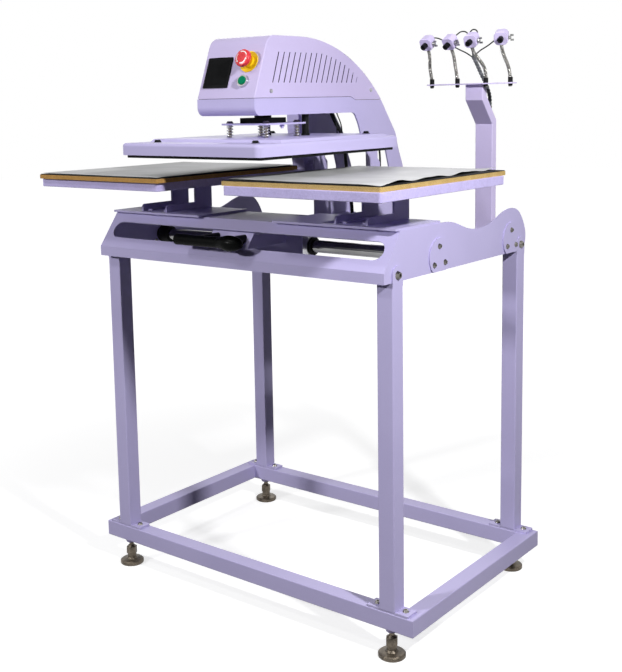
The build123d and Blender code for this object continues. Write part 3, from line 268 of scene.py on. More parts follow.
lavender_coat = make_finish(
    "lavender_coat",
    deep=(0.475, 0.434, 0.685),
    tone=(0.525, 0.48, 0.742),
    gloss=(0.32, 0.42),
    grain_scale=650, drift_scale=3.5, relief=0.30, relief_mm=0.05, shine=0.12,
)
dress(lavender_coat, "base_frame", "legs")


# Feet: machine feet of brown-black plated steel with a round swivelling disc, a stud and two
# nuts. The plating is mottled and worn brighter on the grain.
foot_plating = make_finish(
    "foot_plating",
    deep=(0.045, 0.037, 0.028),
    tone=(0.20, 0.165, 0.125),
    gloss=(0.28, 0.52),
    grain_scale=420, drift_scale=60, relief=0.5, relief_mm=0.08, speckle=0.5, metal=0.7,
)
dress(foot_plating, "foot_front_left", "foot_front_right", "foot_rear_left", "foot_rear_right")


# Frame screws: zinc plated button heads with hexagon sockets, through the legs' foot plates,
# the side panels and the round end plates of the shafts.
# Painted dark reflection: the plating's base colour is held dark, as here it mirrors a white
# background.
screw_plating = make_finish(
    "screw_plating",
    deep=(0.07, 0.066, 0.06),
    tone=(0.27, 0.257, 0.238),
    gloss=(0.24, 0.38),
    grain_scale=800, drift_scale=90, relief=0.3, relief_mm=0.03, speckle=0.5, metal=1.0,
)
dress(screw_plating, "plate_screws", "leg_bolts", "end_plate_screws")


# Table body: side panels cut from 6 mm plate with a hump over each shaft, the folded front
# panel with its long slot, the rear rail and the end plates, all in the same coat.
dress(lavender_coat, "side_panels", "front_panel", "rear_rail", "shaft_end_plates")


# Guide shafts: two hardened and ground bars, chrome bright, with rubber buffers near the ends.
# Painted dark reflection: the chrome's base colour is held dark, as here it mirrors a white
# background.
ground_steel = make_finish(
    "ground_steel",
    deep=(0.15, 0.15, 0.152),
    tone=(0.24, 0.24, 0.242),
    gloss=(0.16, 0.26),
    grain_scale=900, drift_scale=12, relief=0.15, relief_mm=0.01, speckle=0.4, metal=1.0,
)
dress(ground_steel, "shafts")
buffer_rubber = make_finish(
    "buffer_rubber",
    deep=(0.008, 0.008, 0.0085),
    tone=(0.018, 0.018, 0.019),
    gloss=(0.52, 0.72),
    grain_scale=700, drift_scale=30, relief=0.4, relief_mm=0.05, shine=0.06,
)
dress(buffer_rubber, "buffers", "bearing_seals")


# Deck and pedestals: folded sheet on the body, and two upright webs under each lower platen.
dress(lavender_coat, "station_plates", "pedestals")


# Lower platens: flat castings whose coat came out with a coarse hammered skin, plain to see
# along their front edges.
hammered_coat = make_finish(
    "hammered_coat",
    deep=(0.45, 0.40, 0.68),
    tone=(0.54, 0.485, 0.80),
    gloss=(0.28, 0.46),
    grain_scale=260, drift_scale=40, relief=0.9, relief_mm=0.5, speckle=0.6, shine=0.25,
)
dress(hammered_coat, "platens")


# Pressing boards: 9.5 mm wood fibre board, raw at its edges: pale and speckled on the right
# station; the left one is browner and darker, its tones multiplied by a tint where x is below 0.
board_fibre = make_finish(
    "board_fibre",
    deep=(0.36, 0.235, 0.075),
    tone=(0.57, 0.41, 0.165),
    gloss=(0.62, 0.82),
    grain_scale=520, drift_scale=45, relief=0.7, relief_mm=0.12, speckle=0.75, shine=0.2,
)
tree = board_fibre.node_tree
board_place = tree.nodes.new("ShaderNodeTexCoord")
board_split = tree.nodes.new("ShaderNodeSeparateXYZ")
board_side = tree.nodes.new("ShaderNodeMath")
board_side.operation = "LESS_THAN"
board_side.inputs[1].default_value = 0.0
# Where x is below 0, the board's tones are multiplied by a browner, darker tint.
left_board_tint = tree.nodes.new("ShaderNodeMix")
left_board_tint.data_type = "RGBA"
left_board_tint.blend_type = "MULTIPLY"
left_board_tint.inputs[7].default_value = (0.84, 0.66, 0.50, 1)
tree.links.new(board_place.outputs["Object"], board_split.inputs[0])
tree.links.new(board_split.outputs["X"], board_side.inputs[0])
tree.links.new(board_side.outputs[0], left_board_tint.inputs[0])
tree.links.new(tree.nodes["tones"].outputs["Color"], left_board_tint.inputs[6])
tree.links.new(left_board_tint.outputs[2], tree.nodes["Principled BSDF"].inputs["Base Color"])
dress(board_fibre, "boards")


# Foam mats: black silicone sponge, 402 by 504 mm and 2.5 mm thick, one loose on each board.
# The edge is rounded by the knife and the top is pressed a little uneven.
mat_sponge = make_finish(
    "mat_sponge",
    deep=(0.010, 0.010, 0.0105),
    tone=(0.024, 0.024, 0.025),
    gloss=(0.60, 0.80),
    grain_scale=900, drift_scale=20, relief=0.5, relief_mm=0.06, speckle=0.5, shine=0.08,
)
mat_low, mat_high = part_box("mats")
board_centres = ((-0.290, -0.140), (0.290, -0.122))
mat_size = (0.402, 0.504)
mat_edge_drop = 0.0006
mat_edge_width = 0.012
for mat_name, (centre_x, centre_y) in zip(("foam_mat_left", "foam_mat_right"), board_centres):
    shape = bmesh.new()
    bmesh.ops.create_grid(shape, x_segments=40, y_segments=50, size=0.5)
    bmesh.ops.scale(shape, vec=(mat_size[0], mat_size[1], 1), verts=shape.verts)
    for v in shape.verts:
        edge_gap = min(mat_size[0] / 2 - abs(v.co.x), mat_size[1] / 2 - abs(v.co.y))
        v.co.z = -mat_edge_drop * max(0.0, 1 - edge_gap / mat_edge_width) ** 2
        v.co.z -= 0.00015 * (1 + sin(v.co.x * 31 + 1.2) * sin(v.co.y * 27))
    bmesh.ops.translate(shape, vec=(centre_x, centre_y, mat_high.z), verts=shape.verts)
    mat_top = shape.faces[:]
    skirt = bmesh.ops.extrude_face_region(shape, geom=mat_top)
    for v in (g for g in skirt["geom"] if isinstance(g, bmesh.types.BMVert)):
        v.co.z = mat_low.z
    bmesh.ops.recalc_face_normals(shape, faces=shape.faces)
    mat_mesh = bpy.data.meshes.new(mat_name)
    shape.to_mesh(mat_mesh)
    shape.free()
    mat_mesh.materials.append(mat_sponge)
    foam_mat = bpy.data.objects.new(mat_name, mat_mesh)
    scene.collection.objects.link(foam_mat)
    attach(foam_mat, "stand")
    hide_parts("mats")


# Cover sheets: thin coated glass cloth, grey white and slightly shiny, laid loose on the mats.
# The right one lies askew, so that black shows along its edge, and its front corner droops.
sheet_cloth = make_finish(
    "sheet_cloth",
    deep=(0.43, 0.434, 0.438),
    tone=(0.52, 0.525, 0.53),
    gloss=(0.42, 0.58),
    grain_scale=1400, drift_scale=14, relief=0.35, relief_mm=0.05, speckle=0.3, shine=0.35,
)
sheet_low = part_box("sheets")[0]
least_gap = 0.0001
lie_gap = 0.0002


def lay_sheet(name, mat_centre, corners, waves, edge_curl, edge_wander=0.0):
    """A sheet between four corners, front left first and round to rear left, with soft folds."""
    shape = bmesh.new()
    bmesh.ops.create_grid(shape, x_segments=90, y_segments=110, size=0.5)
    front_left, front_right, rear_right, rear_left = (Vector(c) for c in corners)
    for v in shape.verts:
        across, along = v.co.x + 0.5, v.co.y + 0.5
        front = front_left.lerp(front_right, across)
        rear = rear_left.lerp(rear_right, across)
        spot = front.lerp(rear, along)
        spot.x += edge_wander * max(0.0, (across - 0.8) / 0.2) * sin(2 * pi * 3.4 * along + 0.5)
        height = 0.0
        for tall, count_across, count_along, start in waves:
            phase = 2 * pi * (count_across * across + count_along * along) + start
            height += tall * (1 + sin(phase)) / 2
        height += edge_curl(across, along)
        rim_gap = min(
            mat_size[0] / 2 - abs(spot.x - mat_centre[0]),
            mat_size[1] / 2 - abs(spot.y - mat_centre[1]),
        )
        mat_skin = mat_high.z - mat_edge_drop * max(0.0, 1 - rim_gap / mat_edge_width) ** 2
        height = max(mat_skin + least_gap, sheet_low.z + lie_gap + height)
        v.co = Vector((spot.x, spot.y, height))
    mesh = bpy.data.meshes.new(name)
    bmesh.ops.recalc_face_normals(shape, faces=shape.faces)
    shape.to_mesh(mesh)
    shape.free()
    for face in mesh.polygons:
        face.use_smooth = True
    mesh.materials.append(sheet_cloth)
    sheet = bpy.data.objects.new(name, mesh)
    scene.collection.objects.link(sheet)
    thickness = sheet.modifiers.new("thickness", "SOLIDIFY")
    thickness.thickness = 0.0005
    thickness.offset = 1
    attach(sheet, "stand")
    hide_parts("sheets")
    return sheet


def left_curl(across, along):
    rim = max(0.0, 1 - across / 0.05, 1 - (1 - along) / 0.05)
    return 0.00025 * rim * (1 + sin(9 * along + 7 * across))


def right_curl(across, along):
    rim = max(0.0, (across - 0.80) / 0.20)
    ripple = (1 + sin(2 * pi * 3.4 * along - 0.9)) / 2
    ripple += 0.5 * (1 + sin(2 * pi * 6.3 * along + 1.1)) / 2
    lift = 0.0036 * rim**2 * ripple * min(1.0, along / 0.10)
    corner = max(0.0, 1 - ((1 - across) ** 2 + along**2) ** 0.5 / 0.13)
    return lift - 0.0021 * corner**2


left_x, left_y = board_centres[0]
right_x, right_y = board_centres[1]
left_sheet = lay_sheet(
    "cover_sheet_left",
    board_centres[0],
    (
        (left_x - 0.197, left_y - 0.247, 0),
        (left_x + 0.193, left_y - 0.244, 0),
        (left_x + 0.196, left_y + 0.246, 0),
        (left_x - 0.196, left_y + 0.247, 0),
    ),
    ((0.0004, 0.9, 0.6, 0.4), (0.0003, 0.3, 1.7, 2.0)),
    left_curl,
)
right_sheet = lay_sheet(
    "cover_sheet_right",
    board_centres[1],
    (
        (right_x - 0.196, right_y - 0.236, 0),
        (right_x + 0.199, right_y - 0.252, 0),
        (right_x + 0.181, right_y + 0.246, 0),
        (right_x - 0.194, right_y + 0.247, 0),
    ),
    ((0.0009, 1.2, 0.5, 0.9), (0.0006, -0.4, 1.6, 2.6)),
    right_curl,
    0.0022,
)


# Carriage: base plate and saddles on four linear bearings; the plate is coated, the bearing
# saddles are grey plated steel.
dress(lavender_coat, "carriage_base")
zinc_plating = make_finish(
    "zinc_plating",
    deep=(0.36, 0.36, 0.38),
    tone=(0.60, 0.60, 0.62),
    gloss=(0.30, 0.45),
    grain_scale=600, drift_scale=40, relief=0.3, relief_mm=0.04, speckle=0.5, metal=1.0,
)
dress(zinc_plating, "bearings", "actuator")


# Pull handle: a black bakelite grip with a glossy swollen end, on two black legs that come
# through the slot.
grip_bakelite = make_finish(
    "grip_bakelite",
    deep=(0.0015, 0.0017, 0.0016),
    tone=(0.004, 0.0045, 0.0043),
    gloss=(0.22, 0.34),
    grain_scale=500, drift_scale=25, relief=0.2, relief_mm=0.03, speckle=0.4, shine=0.03,
)
dress(grip_bakelite, "handle_grip", "mains_inlet", "power_rocker")
black_enamel = make_finish(
    "black_enamel",
    deep=(0.005, 0.005, 0.0055),
    tone=(0.012, 0.012, 0.013),
    gloss=(0.32, 0.48),
    grain_scale=600, drift_scale=30, relief=0.35, relief_mm=0.05, shine=0.08,
)
dress(black_enamel, "handle_legs", "ram", "guide_posts", "cap_nuts", "ferrules", "lens_barrels")


# Arm: two side plates, the bent tray in front and below, and the control box beside the left
# leg, in the lavender coat; the thin cover above the seam was sprayed slightly pinker.
dress(lavender_coat, "head_sides", "head_tray", "control_box")
cover_coat = make_finish(
    "cover_coat",
    deep=(0.51, 0.445, 0.675),
    tone=(0.56, 0.495, 0.735),
    gloss=(0.32, 0.42),
    grain_scale=650, drift_scale=4, relief=0.25, relief_mm=0.04, shine=0.12,
)
dress(cover_coat, "head_cover")
dress(zinc_plating, "cover_screws")
# The floors of the vents' grooves are darkened to a dark purple as painted shade in the recesses,
# found by their place in the arm's sides.
vent_places = (("X", 0.07, 0.0853), ("Y", -0.20, 0.12), ("Z", 1.2455, 1.316))
tree = cover_coat.node_tree
vent_place = tree.nodes.new("ShaderNodeTexCoord")
vent_split = tree.nodes.new("ShaderNodeSeparateXYZ")
tree.links.new(vent_place.outputs["Object"], vent_split.inputs[0])
vent_shade = None
for axis_name, low, high in vent_places:
    inside = tree.nodes.new("ShaderNodeMath")
    inside.operation = "COMPARE"
    inside.inputs[1].default_value = (low + high) / 2
    inside.inputs[2].default_value = (high - low) / 2
    if axis_name == "X":
        either_side = tree.nodes.new("ShaderNodeMath")
        either_side.operation = "ABSOLUTE"
        tree.links.new(vent_split.outputs["X"], either_side.inputs[0])
        tree.links.new(either_side.outputs[0], inside.inputs[0])
    else:
        tree.links.new(vent_split.outputs[axis_name], inside.inputs[0])
    if vent_shade is not None:
        both = tree.nodes.new("ShaderNodeMath")
        both.operation = "MULTIPLY"
        tree.links.new(vent_shade.outputs[0], both.inputs[0])
        tree.links.new(inside.outputs[0], both.inputs[1])
        inside = both
    vent_shade = inside
# Painted shade: the groove floors' colour is multiplied by 0.10.
vent_painted_shade = tree.nodes.new("ShaderNodeMix")
vent_painted_shade.data_type = "RGBA"
vent_painted_shade.blend_type = "MULTIPLY"
vent_painted_shade.inputs[7].default_value = (0.10, 0.10, 0.12, 1)
tree.links.new(vent_shade.outputs[0], vent_painted_shade.inputs[0])
tree.links.new(tree.nodes["tones"].outputs["Color"], vent_painted_shade.inputs[6])
tree.links.new(vent_painted_shade.outputs[2], tree.nodes["Principled BSDF"].inputs["Base Color"])


# Seam strip: a strip in the black sponge finish in the 1 mm gap between the cover and the plates
# under it, painted shade for the seam. It stands back by 1 mm and stops the light.
shape = bmesh.new()
strip_depth = 0.0022
strip_height = 0.0008
strip_front = -0.2540
strip_line = (
    (0.0805, 0.2415, 1.205),
    (0.0805, 0.129, 1.205),
    (0.0805, 0.109, 1.213),
    (0.0805, strip_front, 1.213),
)
strip_line += tuple((-x, y, z) for x, y, z in reversed(strip_line))
outer_verts, inner_verts = [], []
for x, y, z in strip_line:
    outward = strip_depth if x > 0 else -strip_depth
    ahead_by = strip_depth if y == strip_front else 0.0
    outer_verts.append(shape.verts.new((x + outward, y - ahead_by, z - strip_height / 2)))
    inner_verts.append(shape.verts.new((x, y, z - strip_height / 2)))
for number in range(len(strip_line) - 1):
    shape.faces.new(
        (outer_verts[number], outer_verts[number + 1], inner_verts[number + 1], inner_verts[number])
    )
risen = bmesh.ops.extrude_face_region(shape, geom=shape.faces[:])
bmesh.ops.translate(
    shape,
    vec=(0, 0, strip_height),
    verts=[g for g in risen["geom"] if isinstance(g, bmesh.types.BMVert)],
)
bmesh.ops.recalc_face_normals(shape, faces=shape.faces)
seam_shade_mesh = bpy.data.meshes.new("seam_shade_strip")
shape.to_mesh(seam_shade_mesh)
shape.free()
seam_shade_mesh.materials.append(mat_sponge)
seam_shade_strip = bpy.data.objects.new("seam_shade_strip", seam_shade_mesh)
scene.collection.objects.link(seam_shade_strip)
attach(seam_shade_strip, "carriage")


# Control face: touch screen in a black bezel, its glass set 0.8 mm back. No words are on it.
face_origin = Vector((0, -0.2578, 1.2135))
face_lean = radians(20.95)
face_normal = Vector((0, -cos(face_lean), sin(face_lean)))
face_up = Vector((0, sin(face_lean), cos(face_lean)))
face_turn = Matrix((Vector((1, 0, 0)), face_up, face_normal)).transposed().to_4x4()


def on_face(across, up, out):
    """A place on the control face: across and up it, and out from it, in metres."""
    place = face_origin + Vector((across, 0, 0)) + face_up * up + face_normal * out
    return Matrix.Translation(place) @ face_turn


bezel_plastic = make_finish(
    "bezel_plastic",
    deep=(0.004, 0.004, 0.0043),
    tone=(0.008, 0.008, 0.0085),
    gloss=(0.26, 0.36),
    grain_scale=700, drift_scale=30, relief=0.2, relief_mm=0.02, shine=0.04,
)
dress(bezel_plastic, "touch_screen")
screen_glass = make_finish(
    "screen_glass",
    deep=(0.004, 0.0042, 0.0045),
    tone=(0.008, 0.0083, 0.009),
    gloss=(0.14, 0.22),
    grain_scale=2200, drift_scale=50, relief=0.12, relief_mm=0.01, speckle=0.6, shine=0.03,
)
shape = bmesh.new()
bmesh.ops.create_grid(shape, x_segments=12, y_segments=12, size=0.5)
bmesh.ops.scale(shape, vec=(0.0616, 0.0596, 1), verts=shape.verts)
bmesh.ops.solidify(shape, geom=shape.faces[:], thickness=-0.0004)
bmesh.ops.transform(shape, matrix=on_face(-0.0377, 0.0615, 0.00172), verts=shape.verts)
bmesh.ops.recalc_face_normals(shape, faces=shape.faces)
glass_mesh = bpy.data.meshes.new("screen_pane")
shape.to_mesh(glass_mesh)
shape.free()
glass_mesh.materials.append(screen_glass)
screen_pane = bpy.data.objects.new("screen_pane", glass_mesh)
scene.collection.objects.link(screen_pane)
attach(screen_pane, "carriage")


# Emergency stop: yellow collar plate, red mushroom cap with three white turning arrows. The
# words on the real collar are left off.
stop_yellow = make_finish(
    "stop_yellow",
    deep=(0.80, 0.52, 0.008),
    tone=(0.92, 0.63, 0.015),
    gloss=(0.30, 0.42),
    grain_scale=700, drift_scale=60, relief=0.2, relief_mm=0.02, shine=0.25,
)
dress(stop_yellow, "estop_collar")
stop_red = make_finish(
    "stop_red",
    deep=(0.58, 0.020, 0.028),
    tone=(0.72, 0.036, 0.046),
    gloss=(0.22, 0.34),
    grain_scale=700, drift_scale=60, relief=0.15, relief_mm=0.02, speckle=0.35, shine=0.4,
)
dress(stop_red, "estop_mushroom", "estop_stem")
arrow_white = make_finish(
    "arrow_white",
    deep=(0.80, 0.80, 0.80),
    tone=(0.90, 0.90, 0.90),
    gloss=(0.35, 0.45),
    grain_scale=900, drift_scale=60, relief=0.15, relief_mm=0.01,
)
arrow_head = 0.0014
paint_lift = 0.00015
shape = bmesh.new()
for number in range(3):
    start_angle = radians(24 + 120 * number)
    sweep = radians(76)
    steps = 18
    inner, outer = 0.0126, 0.0148
    first = shape.verts.new((inner, 0, 0)), shape.verts.new((outer, 0, 0))
    edge = shape.edges.new(first)
    bmesh.ops.spin(
        shape, geom=[*first, edge], cent=(0, 0, 0), axis=(0, 0, 1), angle=sweep, steps=steps
    )
    tip_angle = sweep + radians(17)
    middle = (inner + outer) / 2
    foot_in, foot_out = inner - arrow_head, outer + arrow_head
    inner_foot = shape.verts.new((foot_in * cos(sweep), foot_in * sin(sweep), 0))
    outer_foot = shape.verts.new((foot_out * cos(sweep), foot_out * sin(sweep), 0))
    tip = shape.verts.new((middle * cos(tip_angle), middle * sin(tip_angle), 0))
    shape.faces.new((inner_foot, outer_foot, tip))
    fresh = [v for v in shape.verts if not v.tag]
    bmesh.ops.rotate(shape, verts=fresh, cent=(0, 0, 0), matrix=Matrix.Rotation(start_angle, 3, "Z"))
    for v in fresh:
        v.tag = True
bmesh.ops.triangulate(shape, faces=shape.faces)
bmesh.ops.subdivide_edges(shape, edges=shape.edges, cuts=2, use_grid_fill=True)
bmesh.ops.transform(shape, matrix=on_face(0.0476, 0.0851, 0.04), verts=shape.verts)
for v in shape.verts:
    _, dome_place, dome_normal, _ = nodes["estop_mushroom"].ray_cast(v.co, -face_normal)
    v.co = dome_place + dome_normal * paint_lift
bmesh.ops.recalc_face_normals(shape, faces=shape.faces)
for face in shape.faces:
    if face.normal.dot(face_normal) < 0:
        face.normal_flip()
arrow_mesh = bpy.data.meshes.new("stop_arrows")
shape.to_mesh(arrow_mesh)
shape.free()
arrow_mesh.materials.append(arrow_white)
stop_arrows = bpy.data.objects.new("stop_arrows", arrow_mesh)
scene.collection.objects.link(stop_arrows)
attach(stop_arrows, "estop_head")


# Start button: green cap, standing 2 mm proud of its chromed ring.
button_chrome = make_finish(
    "button_chrome",
    deep=(0.45, 0.45, 0.46),
    tone=(0.66, 0.66, 0.67),
    gloss=(0.10, 0.20),
    grain_scale=900, drift_scale=60, relief=0.15, relief_mm=0.01, speckle=0.4, metal=1.0,
)
dress(button_chrome, "start_ring")
start_green = make_finish(
    "start_green",
    deep=(0.0, 0.15, 0.065),
    tone=(0.0, 0.21, 0.095),
    gloss=(0.24, 0.36),
    grain_scale=700, drift_scale=80, relief=0.2, relief_mm=0.02, shine=0.06,
)
dress(start_green, "start_cap")


# Spring plate and its bolts: the coated plate under the ram, with chromed shoulder bolts.
dress(lavender_coat, "spring_plate")
# Painted dark reflection: the chrome's base colour is held dark and brownish, as here it mirrors a
# white background.
bolt_chrome = make_finish(
    "bolt_chrome",
    deep=(0.10, 0.085, 0.07),
    tone=(0.30, 0.27, 0.24),
    gloss=(0.20, 0.32),
    grain_scale=800, drift_scale=70, relief=0.2, relief_mm=0.02, speckle=0.5, metal=1.0,
)
dress(bolt_chrome, "spring_bolts")


# Compression springs: 2.2 mm round wire wound to 16 mm, four free turns with a closed end turn
# at top and bottom. On the machine they shorten when the platen floats up; here they are one fixed
# mesh that moves with the press.
spring_wire_steel = make_finish(
    "spring_wire_steel",
    deep=(0.42, 0.42, 0.43),
    tone=(0.72, 0.72, 0.73),
    gloss=(0.22, 0.34),
    grain_scale=900, drift_scale=90, relief=0.25, relief_mm=0.02, speckle=0.5, metal=1.0,
)
spring_low, spring_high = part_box("coil_springs")
shape = bmesh.new()
for spot_x, spot_y in ((-0.055, -0.182), (0.055, -0.182), (-0.055, -0.069), (0.055, -0.069)):
    foot = Vector((spot_x, spot_y, spring_low.z + 0.0011))
    seat = Matrix.Translation(foot + Vector((0.0069, 0, 0))) @ Matrix.Rotation(pi / 2, 4, "X")
    section = bmesh.ops.create_circle(shape, cap_ends=False, segments=10, radius=0.0011, matrix=seat)
    ring = section["verts"] + list({e for v in section["verts"] for e in v.link_edges})
    rise = spring_high.z - spring_low.z - 0.0022
    closed = 0.0021
    for turns, climb in ((1, closed), (4, rise - 2 * closed), (1, closed)):
        steps = int(turns * 24)
        spun = bmesh.ops.spin(
            shape,
            geom=ring,
            cent=foot,
            axis=(0, 0, 1),
            dvec=(0, 0, climb / steps),
            angle=2 * pi * turns,
            steps=steps,
        )
        ring = spun["geom_last"]
bmesh.ops.remove_doubles(shape, verts=shape.verts, dist=1e-6)
bmesh.ops.holes_fill(shape, edges=[e for e in shape.edges if e.is_boundary], sides=12)
bmesh.ops.recalc_face_normals(shape, faces=shape.faces)
spring_mesh = bpy.data.meshes.new("press_springs")
shape.to_mesh(spring_mesh)
shape.free()
for face in spring_mesh.polygons:
    face.use_smooth = len(face.vertices) == 4
spring_mesh.materials.append(spring_wire_steel)
press_springs = bpy.data.objects.new("press_springs", spring_mesh)
scene.collection.objects.link(press_springs)
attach(press_springs, "press")
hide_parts("coil_springs")
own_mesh(press_springs)


# Heat platen: deep drawn cover in the lavender coat over a black anodised heater plate.
dress(lavender_coat, "heat_cover")
heater_anodised = make_finish(
    "heater_anodised",
    deep=(0.006, 0.006, 0.0063),
    tone=(0.014, 0.014, 0.0147),
    gloss=(0.42, 0.56),
    grain_scale=700, drift_scale=30, relief=0.3, relief_mm=0.04, speckle=0.4, shine=0.06,
)
dress(heater_anodised, "heater_plate")


# Lamp post: bent rectangular tube with the crossbar welded on its top, and the four pointer
# lamp blocks. They get a paler copy of the lavender coat, painted light for more light on them.
# Painted light: the same lavender paint made paler for the post and the lamp blocks.
post_painted_light_coat = make_finish(
    "post_painted_light_coat",
    deep=(0.60, 0.53, 0.785),
    tone=(0.665, 0.59, 0.855),
    gloss=(0.32, 0.42),
    grain_scale=650, drift_scale=4, relief=0.25, relief_mm=0.04, shine=0.12,
)
dress(post_painted_light_coat, "laser_post", "laser_housings")
wing_zinc = make_finish(
    "wing_zinc",
    deep=(0.22, 0.22, 0.22),
    tone=(0.48, 0.48, 0.47),
    gloss=(0.20, 0.34),
    grain_scale=800, drift_scale=120, relief=0.3, relief_mm=0.03, speckle=0.5, metal=1.0,
)
dress(wing_zinc, "wing_screw_1", "wing_screw_2", "wing_screw_3", "wing_screw_4")


# Lamp cables, trunk cables and heater leads: round black PVC cords. Each is one smooth line
# through the places where it is held, and each end goes into a part.
cable_pvc = make_finish(
    "cable_pvc",
    deep=(0.007, 0.007, 0.0075),
    tone=(0.015, 0.015, 0.0165),
    gloss=(0.36, 0.50),
    grain_scale=900, drift_scale=60, relief=0.3, relief_mm=0.03, shine=0.06,
)


def lay_cord(name, places, diameter, body, node):
    """A cord of that diameter whose smooth line has these places, in metres, as control points."""
    curve = bpy.data.curves.new(name, "CURVE")
    curve.dimensions = "3D"
    line = curve.splines.new("NURBS")
    line.points.add(len(places) - 1)
    for point, place in zip(line.points, places):
        point.co = (*place, 1)
    line.order_u = 3
    line.use_endpoint_u = True
    line.resolution_u = 16
    curve.bevel_depth = diameter / 2
    curve.bevel_resolution = 5
    curve.use_fill_caps = True
    curve.materials.append(cable_pvc)
    cord = bpy.data.objects.new(name, curve)
    scene.collection.objects.link(cord)
    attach(cord, body)
    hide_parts(node)
    return cord


lamp_cable_routes = (
    (
        0.1323,
        (
            (0.1743, 0.3336, 1.3518),
            (0.180, 0.344, 1.358),
            (0.194, 0.349, 1.355),
            (0.212, 0.351, 1.345),
            (0.232, 0.353, 1.333),
            (0.252, 0.354, 1.323),
            (0.271, 0.353, 1.315),
            (0.2863, 0.351, 1.3049),
        ),
    ),
    (
        0.1090,
        (
            (0.2410, 0.3326, 1.3517),
            (0.245, 0.345, 1.361),
            (0.255, 0.351, 1.370),
            (0.268, 0.356, 1.368),
            (0.276, 0.360, 1.354),
            (0.280, 0.360, 1.336),
            (0.283, 0.358, 1.320),
            (0.2861, 0.355, 1.3053),
        ),
    ),
    (
        0.1108,
        (
            (0.2986, 0.3344, 1.3524),
            (0.301, 0.3445, 1.3555),
            (0.3022, 0.350, 1.3635),
            (0.2967, 0.3525, 1.371),
            (0.2873, 0.353, 1.373),
            (0.2796, 0.3535, 1.3682),
            (0.276, 0.354, 1.359),
            (0.2775, 0.3542, 1.343),
            (0.2845, 0.352, 1.324),
            (0.2899, 0.351, 1.3067),
        ),
    ),
    (
        0.1055,
        (
            (0.3768, 0.334, 1.3547),
            (0.368, 0.345, 1.354),
            (0.352, 0.349, 1.345),
            (0.335, 0.352, 1.334),
            (0.318, 0.355, 1.326),
            (0.303, 0.356, 1.319),
            (0.2897, 0.355, 1.3071),
        ),
    ),
)
for number, (cable_length, places) in enumerate(lamp_cable_routes, start=1):
    lamp_cable = lay_cord(f"lamp_cable_{number}", places, 0.0032, "stand", "lamp_cables")

trunk_routes = (
    (
        "carriage_trunk",
        0.3339,
        0.009,
        (
            (0.010, 0.119, 1.215),
            (0.011, 0.121, 1.183),
            (0.018, 0.133, 1.152),
            (0.027, 0.149, 1.124),
            (0.026, 0.163, 1.094),
            (0.021, 0.174, 1.062),
            (0.018, 0.183, 1.030),
            (0.017, 0.193, 0.997),
            (0.019, 0.198, 0.963),
            (0.018, 0.205, 0.930),
            (0.018, 0.207, 0.898),
        ),
    ),
    (
        "lamp_feed",
        0.2925,
        0.005,
        (
            (0.066, 0.226, 1.190),
            (0.067, 0.233, 1.160),
            (0.069, 0.243, 1.129),
            (0.070, 0.252, 1.097),
            (0.071, 0.258, 1.064),
            (0.069, 0.261, 1.032),
            (0.071, 0.260, 1.000),
            (0.069, 0.262, 0.968),
            (0.071, 0.264, 0.936),
            (0.070, 0.263, 0.902),
        ),
    ),
)
for name, cable_length, diameter, places in trunk_routes:
    trunk = lay_cord(name, places, diameter, "carriage", "trunk_cables")

lead_foot = 1.118
lead_rise = 0.0162
heater_lead_routes = (
    (
        "heater_lead_1",
        0.1152,
        ((34, 60), (33.5, 61), (30, 62), (25, 60), (22, 57), (21, 58), (20, 56), (21, 57)),
    ),
    (
        "heater_lead_2",
        0.1167,
        ((48, 62), (47, 63), (42, 64), (35, 62), (30, 60), (28, 61), (27, 59), (28, 60)),
    ),
)
for name, cable_length, route in heater_lead_routes:
    places = [
        (across / 1000, (back + 61) / 1000, lead_foot + lead_rise * step)
        for step, (across, back) in enumerate(route)
    ]
    lead = lay_cord(name, places, 0.003, "platen", "heater_leads")


# Spiral wrap: grey plastic band wound round the four lamp cables, from where they meet down to
# the hole in the back of the post. Its gaps are grooves in one closed tube; no cables are drawn
# inside it.
wrap_places = (
    (0.288, 0.353, 1.306),
    (0.297, 0.355, 1.288),
    (0.307, 0.355, 1.267),
    (0.317, 0.358, 1.246),
    (0.324, 0.364, 1.225),
    (0.326, 0.371, 1.204),
    (0.3229, 0.3758, 1.1812),
    (0.3219, 0.3819, 1.1611),
)


def read_line(places, order, fineness):
    """The points of the smooth line with these control points, as Blender's own curve gives them."""
    curve = bpy.data.curves.new("line", "CURVE")
    curve.dimensions = "3D"
    line = curve.splines.new("NURBS")
    line.points.add(len(places) - 1)
    for point, place in zip(line.points, places):
        point.co = (*place, 1)
    line.order_u = order
    line.use_endpoint_u = True
    line.resolution_u = fineness
    carrier = bpy.data.objects.new("line", curve)
    scene.collection.objects.link(carrier)
    bpy.context.view_layer.update()
    mesh = bpy.data.meshes.new_from_object(carrier)
    points = [v.co.copy() for v in mesh.vertices]
    bpy.data.objects.remove(carrier)
    bpy.data.curves.remove(curve)
    bpy.data.meshes.remove(mesh)
    return points


